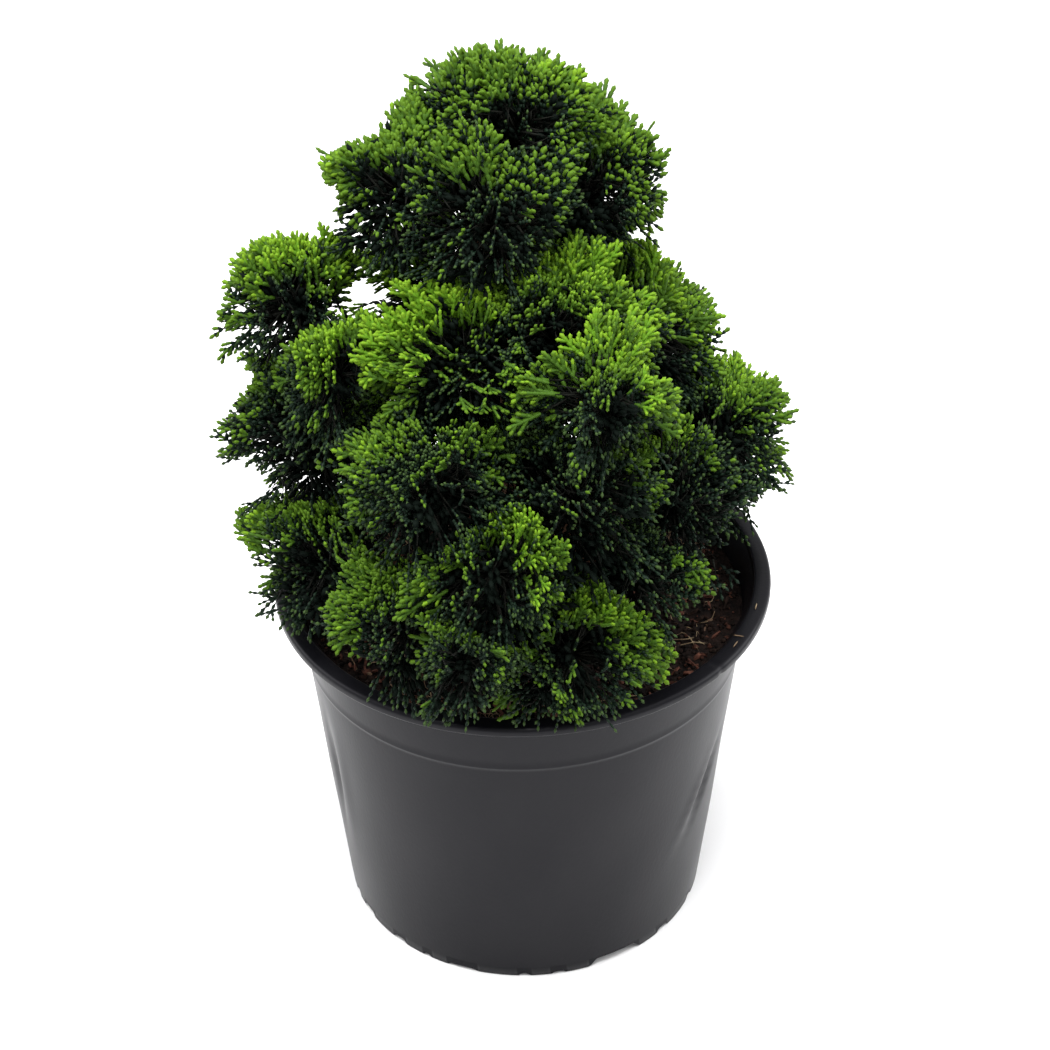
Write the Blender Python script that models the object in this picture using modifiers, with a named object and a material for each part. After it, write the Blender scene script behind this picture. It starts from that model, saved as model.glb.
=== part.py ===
"""Dwarf cypress growing in a round nursery pot.

Units are metres and +Z is up.  The origin is the centre of the pot's flat
underside.  The plant is one trunk, one tapering bough to each foliage mass,
and the masses themselves: each is a stem, a small dense core and a seeded
set of toothed fan sprays that stay inside the mass's own space.
"""
import math
import random
from collections import namedtuple

import bmesh
import bpy
from mathutils import Matrix, Vector

# ---- nursery pot
RIM_RADIUS = 0.0950
RIM_BORE = 0.0884
RIM_TOP = 0.1466
RIM_THICK = 0.0042
WALL_TOP_RADIUS = 0.0872
COLLAR_RADIUS = 0.0842
COLLAR_TOP = 0.1184
COLLAR_THICK = 0.0014
WALL = 0.0013
BASE_RADIUS = 0.0715
CHANNEL_RADIUS = 0.0500
CHANNEL_HEIGHT = 0.0040
FLOOR_THICK = 0.0018
POT_STEPS = 48
NOTCHES = 18
NOTCH_WIDTH = 0.0100
NOTCH_HEIGHT = 0.0028

# ---- potting soil
SOIL_TOP = 0.1350
SOIL_CROWN = 0.0230
SOIL_DIP = 0.0020
GAP = 0.0003
SEAT = 0.0004

# ---- trunk: x, y, z, radius up its length
TRUNK = (
    (0.0040, -0.0010, 0.1353, 0.0104),
    (0.0038, -0.0006, 0.1385, 0.0088),
    (0.0032, 0.0004, 0.1450, 0.0076),
    (0.0014, 0.0022, 0.1620, 0.0068),
    (-0.0014, 0.0046, 0.1880, 0.0060),
    (-0.0028, 0.0070, 0.2140, 0.0051),
    (-0.0016, 0.0088, 0.2400, 0.0042),
    (0.0010, 0.0100, 0.2640, 0.0034),
    (0.0028, 0.0108, 0.2860, 0.0026),
    (0.0030, 0.0114, 0.3040, 0.0019),
)
TRUNK_SIDES = 12
FLARE_LOBES = 5
FLARE_DEPTH = 0.22
FLARE_HEIGHT = 0.0090

# ---- boughs
BOUGH_SIDES_RESOLUTION = 1
BOUGH_SPANS = 4
BOUGH_TIP = 0.0013
BOUGH_SWELL = 0.018
BOUGH_SAG = 0.07

# ---- foliage masses: name, centre, outer radius, and the height on the trunk that
# its bough leaves from; four stems meet the trunk itself, with no bough between
Mass = namedtuple("Mass", "name centre radius root")
STEM_ON_TRUNK = ("crown_peak", "crown_right", "heart", "heart_back")
MASSES = (
    Mass("crown_peak", (-0.004, 0.012, 0.326), 0.0345, TRUNK[-1][2]),
    Mass("crown_left", (-0.042, -0.001, 0.312), 0.0312, 0.272),
    Mass("crown_right", (0.026, 0.008, 0.306), 0.0310, 0.279),
    Mass("crown_front", (-0.010, -0.023, 0.312), 0.0320, 0.276),
    Mass("crown_back", (-0.003, 0.046, 0.302), 0.0350, 0.268),
    Mass("upper_left", (-0.082, 0.000, 0.265), 0.0285, 0.222),
    Mass("left_fan", (-0.066, -0.031, 0.256), 0.0220, 0.214),
    Mass("left_side", (-0.079, -0.013, 0.218), 0.0330, 0.188),
    Mass("dome_left", (-0.020, -0.041, 0.266), 0.0335, 0.234),
    Mass("dome_right", (0.012, -0.033, 0.270), 0.0360, 0.242),
    Mass("dome_fan", (0.029, -0.068, 0.266), 0.0230, 0.226),
    Mass("right_upper", (0.040, 0.006, 0.2475), 0.0320, 0.226),
    Mass("right_side", (0.0745, -0.004, 0.209), 0.0300, 0.184),
    Mass("left_low", (-0.073, -0.034, 0.175), 0.0310, 0.152),
    Mass("front_upper", (-0.031, -0.069, 0.232), 0.0325, 0.200),
    Mass("front_mid", (-0.010, -0.083, 0.206), 0.0310, 0.178),
    Mass("front_left", (-0.043, -0.076, 0.175), 0.0265, 0.157),
    Mass("front_right", (0.017, -0.081, 0.168), 0.0320, 0.150),
    Mass("front_edge", (-0.021, -0.100, 0.180), 0.0210, 0.164),
    Mass("right_mid", (0.055, -0.037, 0.203), 0.0325, 0.172),
    Mass("right_foot", (0.040, -0.059, 0.189), 0.0265, 0.162),
    Mass("centre_front", (0.019, -0.065, 0.225), 0.0310, 0.192),
    Mass("heart", (-0.006, -0.036, 0.222), 0.0270, 0.206),
    Mass("heart_back", (0.002, 0.040, 0.213), 0.0280, 0.200),
    Mass("back_left_upper", (-0.029, 0.047, 0.247), 0.0350, 0.214),
    Mass("back_upper", (0.008, 0.060, 0.245), 0.0365, 0.206),
    Mass("back_right_upper", (0.041, 0.043, 0.225), 0.0335, 0.198),
    Mass("back_left", (-0.066, 0.038, 0.192), 0.0400, 0.176),
    Mass("back_low", (-0.002, 0.071, 0.189), 0.0415, 0.166),
    Mass("back_right", (0.061, 0.046, 0.175), 0.0400, 0.154),
)
FOLIAGE_FLOOR = 0.1492

# ---- sprays
SEED = 4127
FANS = 6
FAN_CONE = math.radians(115.0)
FAN_HALF_ANGLE = math.radians(46.0)
FAN_ROLL = 0.75
FAN_FALL = 0.10
TEETH = 5
TOOTH_CUT = 0.82
SPRAY_THICK = 0.0012
SPRAY_CLEARANCE = 0.0010
LIMB_CLEARANCE = 0.0013
REACH_STEP = 0.0012
CORE_SHARE = 0.80
CORE_CLEARANCE = 0.0016
HUB_SHARE = 0.10
STEM_SHARE = 0.86
STEM_FOOT = 0.0012
STEM_HEAD = 0.0016
GOLDEN_TURN = math.pi * (3.0 - math.sqrt(5.0))


# ------------------------------------------------------------------ scene helpers
def clear_scene():
    for item in list(bpy.data.objects):
        bpy.data.objects.remove(item, do_unlink=True)


def new_collection(name):
    collection = bpy.data.collections.new(name)
    bpy.context.scene.collection.children.link(collection)
    return collection


def add_mesh(name, mesh, collection, material=None):
    item = bpy.data.objects.new(name, mesh)
    collection.objects.link(item)
    if material is not None:
        mesh.materials.clear()
        mesh.materials.append(material)
    return item


def principled(name, colour, roughness, coat=0.0):
    material = bpy.data.materials.new(name)
    material.use_nodes = True
    material.diffuse_color = (*colour, 1.0)
    shader = material.node_tree.nodes["Principled BSDF"]
    shader.inputs["Base Color"].default_value = (*colour, 1.0)
    shader.inputs["Roughness"].default_value = roughness
    shader.inputs["Coat Weight"].default_value = coat
    return material


def settle(item):
    """Replace an object's mesh with the result of its modifiers."""
    graph = bpy.context.evaluated_depsgraph_get()
    mesh = bpy.data.meshes.new_from_object(item.evaluated_get(graph))
    old = item.data
    item.modifiers.clear()
    item.data = mesh
    bpy.data.meshes.remove(old)
    return item


def weld(mesh, distance=0.00001):
    body = bmesh.new()
    body.from_mesh(mesh)
    bmesh.ops.remove_doubles(body, verts=body.verts, dist=distance)
    bmesh.ops.recalc_face_normals(body, faces=body.faces)
    body.to_mesh(mesh)
    body.free()


def crisp(mesh, angle):
    mesh.shade_smooth()
    mesh.set_sharp_from_angle(angle=math.radians(angle))


# ------------------------------------------------------------------ turned parts
def turned(name, profile, steps, collection, material):
    """Turn an outline of (radius, height) points, outer side first, about Z."""
    mesh = bpy.data.meshes.new(name)
    points = [(radius, 0.0, height) for radius, height in profile]
    edges = [(index, index + 1) for index in range(len(points) - 1)]
    mesh.from_pydata(points, edges, [])
    item = add_mesh(name, mesh, collection)
    screw = item.modifiers.new("turn", "SCREW")
    screw.axis = "Z"
    screw.steps = steps
    screw.render_steps = steps
    screw.use_merge_vertices = True
    screw.merge_threshold = 0.00005
    screw.use_smooth_shade = False
    settle(item)
    weld(item.data)
    item.data.materials.append(material)
    return item


def pot_profile():
    lip = 0.0011
    inner_collar = COLLAR_RADIUS - 0.0012 - WALL
    foot = WALL + 0.0002
    return (
        (0.0, FLOOR_THICK),
        (CHANNEL_RADIUS - 0.0006, FLOOR_THICK),
        (CHANNEL_RADIUS + 0.0012, CHANNEL_HEIGHT + FLOOR_THICK),
        (BASE_RADIUS - WALL + 0.0005, CHANNEL_HEIGHT + FLOOR_THICK),
        (inner_collar, COLLAR_TOP - 0.0016),
        (WALL_TOP_RADIUS - WALL, RIM_TOP - RIM_THICK),
        (RIM_BORE, RIM_TOP - lip * 0.5),
        (RIM_BORE + 0.0007, RIM_TOP),
        (RIM_RADIUS - lip, RIM_TOP),
        (RIM_RADIUS - lip * 0.3, RIM_TOP - lip * 0.3),
        (RIM_RADIUS, RIM_TOP - lip),
        (RIM_RADIUS, RIM_TOP - RIM_THICK + lip * 0.5),
        (RIM_RADIUS - lip * 0.5, RIM_TOP - RIM_THICK),
        (WALL_TOP_RADIUS, RIM_TOP - RIM_THICK),
        (COLLAR_RADIUS - 0.0006, COLLAR_TOP),
        (COLLAR_RADIUS, COLLAR_TOP - 0.0003),
        (COLLAR_RADIUS, COLLAR_TOP - COLLAR_THICK),
        (COLLAR_RADIUS - 0.0014, COLLAR_TOP - COLLAR_THICK - 0.0006),
        (BASE_RADIUS, 0.0),
        (BASE_RADIUS - foot, 0.0),
        (BASE_RADIUS - foot, CHANNEL_HEIGHT),
        (CHANNEL_RADIUS + 0.0020, CHANNEL_HEIGHT),
        (CHANNEL_RADIUS, 0.0),
        (0.0, 0.0),
    )


def build_pot(collection, cutters, material):
    """Blown nursery pot: flanged rim, collar line, drainage channel, notched foot."""
    pot = turned("pot", tuple(reversed(pot_profile())), POT_STEPS, collection, material)
    for index in range(NOTCHES):
        turn = 2.0 * math.pi * (index + 0.5) / NOTCHES
        body = bmesh.new()
        bmesh.ops.create_cube(body, size=1.0)
        shape = (
            Matrix.Rotation(turn, 4, "Z")
            @ Matrix.Translation((BASE_RADIUS, 0.0, 0.0))
            @ Matrix.Diagonal((0.0080, NOTCH_WIDTH, NOTCH_HEIGHT * 2.0, 1.0))
        )
        for vert in body.verts:
            if vert.co.z > 0.0:
                vert.co.y *= 0.55
        bmesh.ops.transform(body, matrix=shape, verts=body.verts)
        mesh = bpy.data.meshes.new("notch_%02d" % index)
        body.to_mesh(mesh)
        body.free()
        add_mesh(mesh.name, mesh, cutters)
    cut = pot.modifiers.new("notches", "BOOLEAN")
    cut.operation = "DIFFERENCE"
    cut.operand_type = "COLLECTION"
    cut.collection = cutters
    cut.solver = "EXACT"
    settle(pot)
    crisp(pot.data, 28.0)
    return pot


def build_soil(collection, material):
    """Peat filling: follows the pot's inside, level round the trunk, low at the wall."""
    inside = WALL + GAP + 0.0002
    slope = (COLLAR_RADIUS - 0.0012 - BASE_RADIUS) / (COLLAR_TOP - 0.0016)
    upper = (WALL_TOP_RADIUS - COLLAR_RADIUS + 0.0012) / (RIM_TOP - RIM_THICK - COLLAR_TOP)
    edge = COLLAR_RADIUS - 0.0012 - inside + upper * (SOIL_TOP - SOIL_DIP - COLLAR_TOP)
    low = CHANNEL_HEIGHT + FLOOR_THICK + GAP
    profile = (
        (0.0, SOIL_TOP),
        (SOIL_CROWN, SOIL_TOP),
        (0.0520, SOIL_TOP - SOIL_DIP * 0.3),
        (edge - 0.0050, SOIL_TOP - SOIL_DIP * 0.6),
        (edge, SOIL_TOP - SOIL_DIP),
        (COLLAR_RADIUS - 0.0014 - inside, COLLAR_TOP - 0.0020),
        (BASE_RADIUS - inside + slope * low, low),
        (CHANNEL_RADIUS + 0.0008, low),
        (CHANNEL_RADIUS - 0.0012, FLOOR_THICK + GAP),
        (0.0, FLOOR_THICK + GAP),
    )
    soil = turned("soil", profile, POT_STEPS // 2, collection, material)
    crisp(soil.data, 25.0)
    return soil


# ------------------------------------------------------------------ limbs
def trunk_at(height):
    """Centre and radius of the trunk at a height."""
    rows = TRUNK
    height = min(max(height, rows[0][2]), rows[-1][2])
    for low, high in zip(rows, rows[1:]):
        if height <= high[2]:
            share = (height - low[2]) / (high[2] - low[2])
            centre = Vector(low[:3]).lerp(Vector(high[:3]), share)
            return centre, low[3] + (high[3] - low[3]) * share
    return Vector(rows[-1][:3]), rows[-1][3]


def build_trunk(collection, material):
    """Tapering leaning trunk: lobed root flare at the soil, round above it."""
    body = bmesh.new()
    rings = []
    for x, y, z, radius in TRUNK:
        fade = max(0.0, 1.0 - (z - TRUNK[0][2]) / FLARE_HEIGHT)
        ring = []
        for index in range(TRUNK_SIDES):
            turn = 2.0 * math.pi * index / TRUNK_SIDES
            lobe = 1.0 + FLARE_DEPTH * fade * math.cos(FLARE_LOBES * turn + 0.6)
            reach = radius * lobe
            ring.append(body.verts.new((x + reach * math.cos(turn), y + reach * math.sin(turn), z)))
        rings.append(ring)
    for low, high in zip(rings, rings[1:]):
        for index in range(TRUNK_SIDES):
            after = (index + 1) % TRUNK_SIDES
            body.faces.new((low[index], low[after], high[after], high[index]))
    body.faces.new(list(reversed(rings[0])))
    body.faces.new(rings[-1])
    mesh = bpy.data.meshes.new("trunk")
    body.to_mesh(mesh)
    body.free()
    weld(mesh)
    trunk = add_mesh("trunk", mesh, collection, material)
    crisp(mesh, 40.0)
    return trunk


def limb_curve(name, points, radii, resolution, collection):
    """Closed tapering limb: a bevelled curve turned into a mesh."""
    curve = bpy.data.curves.new(name, "CURVE")
    curve.dimensions = "3D"
    curve.bevel_depth = 1.0
    curve.bevel_resolution = resolution
    curve.use_fill_caps = True
    line = curve.splines.new("POLY")
    line.points.add(len(points) - 1)
    for slot, point, radius in zip(line.points, points, radii):
        slot.co = (*point, 1.0)
        slot.radius = radius
    draft = bpy.data.objects.new(name, curve)
    collection.objects.link(draft)
    graph = bpy.context.evaluated_depsgraph_get()
    graph.update()
    mesh = bpy.data.meshes.new_from_object(draft.evaluated_get(graph))
    bpy.data.objects.remove(draft, do_unlink=True)
    bpy.data.curves.remove(curve)
    weld(mesh)
    return mesh


def lean(mass):
    """Direction a mass faces: away from where its bough leaves the trunk."""
    centre, _ = trunk_at(mass.root)
    return (Vector(mass.centre) - centre).normalized()


def seated(height, side, heading, radius):
    """Point where a limb's cut end sits just clear of the side of the trunk."""
    centre, _ = trunk_at(height)
    across = heading.orthogonal().normalized()
    over = heading.cross(across)
    reach = 0.0
    while True:
        start = centre + side * reach
        room = 1.0
        for index in range(12):
            turn = 2.0 * math.pi * index / 12
            edge = start + (across * math.cos(turn) + over * math.sin(turn)) * radius
            middle, girth = trunk_at(edge.z)
            room = min(room, (edge - middle).to_2d().length - girth)
        if room >= SEAT:
            return start
        reach += 0.00005


def bough_line(mass):
    """Points and radii of the limb from the trunk's side to the mass's stem."""
    way = lean(mass)
    tip = stem_foot(mass) - way * SEAT
    centre, _ = trunk_at(mass.root)
    run = tip - centre
    radius = BOUGH_TIP + BOUGH_SWELL * run.length
    sag = Vector((0.0, 0.0, -BOUGH_SAG * run.length))
    heading = (run * 0.5 + sag).lerp(run - way * run.length * 0.5, 0.35).normalized()
    start = seated(mass.root, run.normalized(), heading, radius)
    run = tip - start
    bend = start + (run * 0.5 + sag).lerp(run - way * run.length * 0.5, 0.35)
    points = []
    radii = []
    for index in range(BOUGH_SPANS + 1):
        share = index / BOUGH_SPANS
        point = start.lerp(bend, share).lerp(bend.lerp(tip, share), share)
        points.append(point)
        radii.append(radius + (BOUGH_TIP - radius) * share)
    return points, radii


def limb_samples():
    """Spheres standing for every limb, used to keep the sprays clear of them."""
    samples = []
    for low, high in zip(TRUNK, TRUNK[1:]):
        for index in range(12):
            share = index / 12
            point = Vector(low[:3]).lerp(Vector(high[:3]), share)
            samples.append((point, low[3] + (high[3] - low[3]) * share))
    samples.append((Vector(TRUNK[-1][:3]), TRUNK[-1][3]))
    for mass in MASSES:
        if mass.name in STEM_ON_TRUNK:
            continue
        points, radii = bough_line(mass)
        for low, high, thick, thin in zip(points, points[1:], radii, radii[1:]):
            for index in range(12):
                share = index / 12
                samples.append((low.lerp(high, share), thick + (thin - thick) * share))
        samples.append((points[-1], radii[-1]))
    return samples


# ------------------------------------------------------------------ a mass's own space
def walls(mass):
    """Flat walls between a mass and its neighbours: (normal, distance from its centre)."""
    here = Vector(mass.centre)
    found = [(Vector((0.0, 0.0, -1.0)), here.z - FOLIAGE_FLOOR)]
    for other in MASSES:
        if other is mass:
            continue
        offset = Vector(other.centre) - here
        apart = offset.length
        if apart > 0.12:
            continue
        share = (apart * apart + mass.radius ** 2 - other.radius ** 2) / (2.0 * apart)
        found.append((offset / apart, share - GAP * 0.5))
    return found


def wall_reach(start, way, mass, margin):
    """Distance from a point along a direction to the nearest wall of the space."""
    here = Vector(mass.centre)
    reach = 1.0
    for normal, distance in walls(mass):
        speed = way.dot(normal)
        room = distance - margin - (start - here).dot(normal)
        if room <= 0.0:
            return 0.0
        if speed > 0.000001:
            reach = min(reach, room / speed)
    return reach


def ball_reach(start, way, mass):
    """Distance from a point along a direction to the mass's outer sphere."""
    offset = start - Vector(mass.centre)
    along = offset.dot(way)
    rest = offset.length_squared - mass.radius ** 2
    return -along + math.sqrt(max(0.0, along * along - rest))


def stem_foot(mass):
    """Where a mass's stem begins: just off its bough's tip, or the trunk's tip."""
    way = lean(mass)
    here = Vector(mass.centre)
    if mass.root >= TRUNK[-1][2]:
        return Vector(TRUNK[-1][:3]) + Vector((0.0, 0.0, SEAT))
    if mass.name in STEM_ON_TRUNK:
        return seated(mass.root, way, way, STEM_FOOT)
    room = wall_reach(here, -way, mass, STEM_FOOT + 0.0004)
    return here - way * min(STEM_SHARE * mass.radius, room * 0.96)


def hub(mass):
    way = lean(mass)
    here = Vector(mass.centre)
    room = wall_reach(here, -way, mass, SPRAY_CLEARANCE)
    return here - way * min(HUB_SHARE * mass.radius, room * 0.60)


def spray_reach(start, way, mass, near):
    """How far a spray may run: to its sphere, its walls or the first limb near it."""
    reach = min(ball_reach(start, way, mass), wall_reach(start, way, mass, SPRAY_CLEARANCE))
    travelled = 0.004
    while travelled < reach:
        point = start + way * travelled
        for spot, radius in near:
            if (point - spot).length_squared < (radius + LIMB_CLEARANCE) ** 2:
                return max(0.0, travelled - 2.0 * REACH_STEP)
        travelled += REACH_STEP
    return reach


# ------------------------------------------------------------------ foliage
def fan_frames(mass, number):
    """Axis, flat normal and vigour of every fan of a mass, by the seeded rule."""
    rule = random.Random(SEED + number)
    way = lean(mass)
    side = way.orthogonal().normalized()
    over = way.cross(side)
    start = rule.uniform(0.0, 2.0 * math.pi)
    frames = []
    for index in range(FANS):
        share = (index + 0.5) / FANS
        tilt = math.acos(1.0 - share * (1.0 - math.cos(FAN_CONE)))
        turn = start + index * GOLDEN_TURN + rule.uniform(-0.25, 0.25)
        axis = way * math.cos(tilt) + (side * math.cos(turn) + over * math.sin(turn)) * math.sin(tilt)
        axis = (axis + Vector((0.0, 0.0, 0.18))).normalized()
        flat = axis.cross(Vector((0.0, 0.0, 1.0)))
        if flat.length < 0.05:
            flat = axis.cross(side)
        flat.normalize()
        flat = Matrix.Rotation(rule.uniform(-FAN_ROLL, FAN_ROLL), 3, axis) @ flat
        frames.append((axis, flat, rule.uniform(0.94, 1.0)))
    return frames


def spray_outline(start, axis, flat, vigour, mass, near):
    """Toothed outline of one fan, or None where there is no room for it."""
    count = TEETH * 2 + 1
    spread = []
    for index in range(count):
        angle = FAN_HALF_ANGLE * (2.0 * index / (count - 1) - 1.0)
        way = Matrix.Rotation(angle, 3, flat) @ axis
        fall = 1.0 - FAN_FALL * (angle / FAN_HALF_ANGLE) ** 2
        spread.append((way, spray_reach(start, way, mass, near) * vigour * fall))
    if max(reach for _, reach in spread) < 0.45 * mass.radius:
        return None
    points = []
    for index, (way, reach) in enumerate(spread):
        if index % 2 == 1:
            points.append(start + way * max(reach, 0.002))
            continue
        beside = [spread[place][1] for place in (index - 1, index + 1) if 0 <= place < count]
        points.append(start + way * max(0.002, min([reach] + beside) * TOOTH_CUT))
    back = start - axis * 0.0016
    across = axis.cross(flat)
    points.append(back - across * 0.0008)
    points.append(back + across * 0.0008)
    return points


def spray_mesh(name, points, flat):
    """Flat toothed blade of even thickness."""
    body = bmesh.new()
    half = flat * (SPRAY_THICK * 0.5)
    face = body.faces.new([body.verts.new(point - half) for point in points])
    lifted = bmesh.ops.extrude_face_region(body, geom=[face])
    verts = [item for item in lifted["geom"] if isinstance(item, bmesh.types.BMVert)]
    bmesh.ops.translate(body, vec=half * 2.0, verts=verts)
    bmesh.ops.recalc_face_normals(body, faces=body.faces)
    mesh = bpy.data.meshes.new(name)
    body.to_mesh(mesh)
    body.free()
    return mesh


def core_mesh(name, mass, near, number):
    """Dense heart of a mass, drawn in wherever a wall or a limb comes close."""
    rule = random.Random(SEED * 3 + number)
    here = Vector(mass.centre)
    body = bmesh.new()
    bmesh.ops.create_icosphere(body, subdivisions=1, radius=1.0)
    turn = Matrix.Rotation(rule.uniform(0.0, 3.0), 3, "Z") @ Matrix.Rotation(0.4, 3, "X")
    for vert in body.verts:
        way = (turn @ vert.co).normalized()
        reach = CORE_SHARE * mass.radius * rule.uniform(0.92, 1.0)
        reach = min(reach, wall_reach(here, way, mass, SPRAY_CLEARANCE))
        for spot, radius in near:
            apart = (spot - here).length
            if (spot - here).dot(way) > 0.26 * apart:
                reach = min(reach, apart - radius - CORE_CLEARANCE)
        vert.co = here + way * max(reach, 0.003)
    mesh = bpy.data.meshes.new(name)
    body.to_mesh(mesh)
    body.free()
    return mesh


def largest_shell(mesh):
    """Keep the outer skin of the biggest piece: fills hollows and drops scrap."""
    body = bmesh.new()
    body.from_mesh(mesh)
    unseen = set(body.faces)
    groups = []
    while unseen:
        seed = unseen.pop()
        group = [seed]
        queue = [seed]
        while queue:
            face = queue.pop()
            for edge in face.edges:
                for other in edge.link_faces:
                    if other in unseen:
                        unseen.remove(other)
                        group.append(other)
                        queue.append(other)
        groups.append(group)

    def extent(group):
        places = [vert.co for face in group for vert in face.verts]
        spans = [max(p[k] for p in places) - min(p[k] for p in places) for k in range(3)]
        return spans[0] * spans[0] + spans[1] * spans[1] + spans[2] * spans[2]

    groups.sort(key=extent, reverse=True)
    spare = [face for group in groups[1:] for face in group]
    if spare:
        bmesh.ops.delete(body, geom=spare, context="FACES")
        loose = [vert for vert in body.verts if not vert.link_faces]
        bmesh.ops.delete(body, geom=loose, context="VERTS")
    body.to_mesh(mesh)
    body.free()
    return len(groups)


def build_mass(mass, number, limbs, collection, material):
    """Fuse stem, core and sprays of one mass into a single closed solid."""
    here = Vector(mass.centre)
    near = [(spot, size) for spot, size in limbs if (spot - here).length < mass.radius + size + 0.004]
    foot = stem_foot(mass)
    start = hub(mass)
    rise = Vector((0.0, 0.0, 1.0)) if mass.root >= TRUNK[-1][2] else lean(mass)
    line = (foot, foot + rise * 0.0030, here)
    stem = limb_curve(mass.name, line, (STEM_FOOT, STEM_HEAD, STEM_HEAD), 0, collection)
    item = add_mesh(mass.name, stem, collection, material)
    parts = bpy.data.collections.new(mass.name + "_parts")
    bpy.context.scene.collection.children.link(parts)
    name = mass.name + "_core"
    add_mesh(name, core_mesh(name, mass, near, number), parts)
    for index, (axis, flat, vigour) in enumerate(fan_frames(mass, number)):
        points = spray_outline(start, axis, flat, vigour, mass, near)
        if points is None:
            continue
        name = "%s_spray_%02d" % (mass.name, index)
        add_mesh(name, spray_mesh(name, points, flat), parts)
    fuse = item.modifiers.new("fuse", "BOOLEAN")
    fuse.operation = "UNION"
    fuse.operand_type = "COLLECTION"
    fuse.collection = parts
    fuse.solver = "MANIFOLD"
    settle(item)
    for piece in list(parts.objects):
        bpy.data.objects.remove(piece, do_unlink=True)
    bpy.data.collections.remove(parts)
    largest_shell(item.data)
    item.data.materials.clear()
    item.data.materials.append(material)
    return item


def main():
    clear_scene()
    plant = new_collection("potted_dwarf_cypress")
    cutters = new_collection("cutters")
    black = principled("pot_black", (0.052, 0.053, 0.058), 0.42)
    peat = principled("peat", (0.035, 0.022, 0.014), 0.95)
    bark = principled("bark", (0.155, 0.085, 0.048), 0.85)
    leaf = principled("leaf_green", (0.055, 0.150, 0.026), 0.62)
    build_pot(plant, cutters, black)
    build_soil(plant, peat)
    build_trunk(plant, bark)
    limbs = limb_samples()
    for mass in MASSES:
        if mass.name in STEM_ON_TRUNK:
            continue
        points, radii = bough_line(mass)
        name = "bough_" + mass.name
        mesh = limb_curve(name, points, radii, BOUGH_SIDES_RESOLUTION, plant)
        add_mesh(name, mesh, plant, bark)
        crisp(mesh, 50.0)
    for number, mass in enumerate(MASSES):
        build_mass(mass, number, limbs, plant, leaf)
    for item in cutters.objects:
        item.hide_render = True
        item.display_type = "WIRE"
    cutters.hide_render = True


main()
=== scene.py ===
import math
import random

import bmesh
import bpy
import numpy as np
from mathutils import Matrix, Quaternion, Vector, noise


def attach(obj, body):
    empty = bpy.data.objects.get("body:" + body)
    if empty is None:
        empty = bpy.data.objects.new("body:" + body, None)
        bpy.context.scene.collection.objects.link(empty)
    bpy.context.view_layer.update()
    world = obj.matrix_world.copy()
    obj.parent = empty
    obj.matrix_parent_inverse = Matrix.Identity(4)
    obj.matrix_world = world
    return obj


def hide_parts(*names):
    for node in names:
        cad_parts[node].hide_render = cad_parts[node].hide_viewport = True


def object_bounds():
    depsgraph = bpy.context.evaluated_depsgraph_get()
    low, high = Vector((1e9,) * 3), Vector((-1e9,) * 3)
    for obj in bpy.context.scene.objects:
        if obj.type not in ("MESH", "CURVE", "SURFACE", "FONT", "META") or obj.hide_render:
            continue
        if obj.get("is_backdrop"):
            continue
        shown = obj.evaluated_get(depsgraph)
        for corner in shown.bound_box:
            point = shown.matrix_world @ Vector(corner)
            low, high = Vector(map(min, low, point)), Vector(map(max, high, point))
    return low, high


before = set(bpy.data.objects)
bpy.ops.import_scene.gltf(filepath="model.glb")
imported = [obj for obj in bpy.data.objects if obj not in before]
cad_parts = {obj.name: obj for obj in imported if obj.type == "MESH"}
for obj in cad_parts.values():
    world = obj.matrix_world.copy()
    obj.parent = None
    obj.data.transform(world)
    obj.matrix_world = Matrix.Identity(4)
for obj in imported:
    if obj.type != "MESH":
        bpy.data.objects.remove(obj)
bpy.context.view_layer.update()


# ==================================================================== studio
# A bright white sweep with the plant standing in the middle of it.  One large
# soft light hangs above the front and two weak ones stand at the sides.
CAMERA_PLACE = Vector((0.001, -0.85775, 0.78867))
CAMERA_AIM = Vector((0.001, 0.0, 0.1677))
CAMERA_LENS = 95.62
CAMERA_ROLL = math.radians(-0.46)
FLOOR_COLOUR = (0.93, 0.93, 0.935)
FLOOR_BOUNCE = (0.34, 0.34, 0.35)
WORLD_HORIZON = (0.62, 0.62, 0.63)
WORLD_ZENITH = (1.0, 1.0, 1.0)
WORLD_FADE = (0.05, 0.85)
WORLD_STRENGTH = 1.05
FLOOR_HALF = 6.0
# name, place, width and power of each round lamp
LIGHTS = (
    ("top_light", (-0.12, -0.30, 1.60), 1.10, 36.0),
    ("left_light", (-1.20, 0.20, 0.80), 1.00, 6.0),
    ("right_light", (1.20, 0.25, 0.80), 1.00, 9.0),
)
LIGHT_AIM = (0.0, 0.0, 0.18)


def plain_material(name, colour, roughness, specular=0.5):
    """Principled material of one colour; returns it and its shader."""
    material = bpy.data.materials.new(name)
    material.use_nodes = True
    material.diffuse_color = (*colour, 1.0)
    shader = material.node_tree.nodes["Principled BSDF"]
    shader.inputs["Base Color"].default_value = (*colour, 1.0)
    shader.inputs["Roughness"].default_value = roughness
    shader.inputs["Specular IOR Level"].default_value = specular
    return material, shader


def place(name, data):
    """Object in the scene that shows some data."""
    item = bpy.data.objects.new(name, data)
    bpy.context.scene.collection.objects.link(item)
    return item


def aimed(spot, target):
    """Turn of a camera or lamp that looks from one place at another."""
    return (Vector(target) - Vector(spot)).to_track_quat("-Z", "Y")


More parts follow.
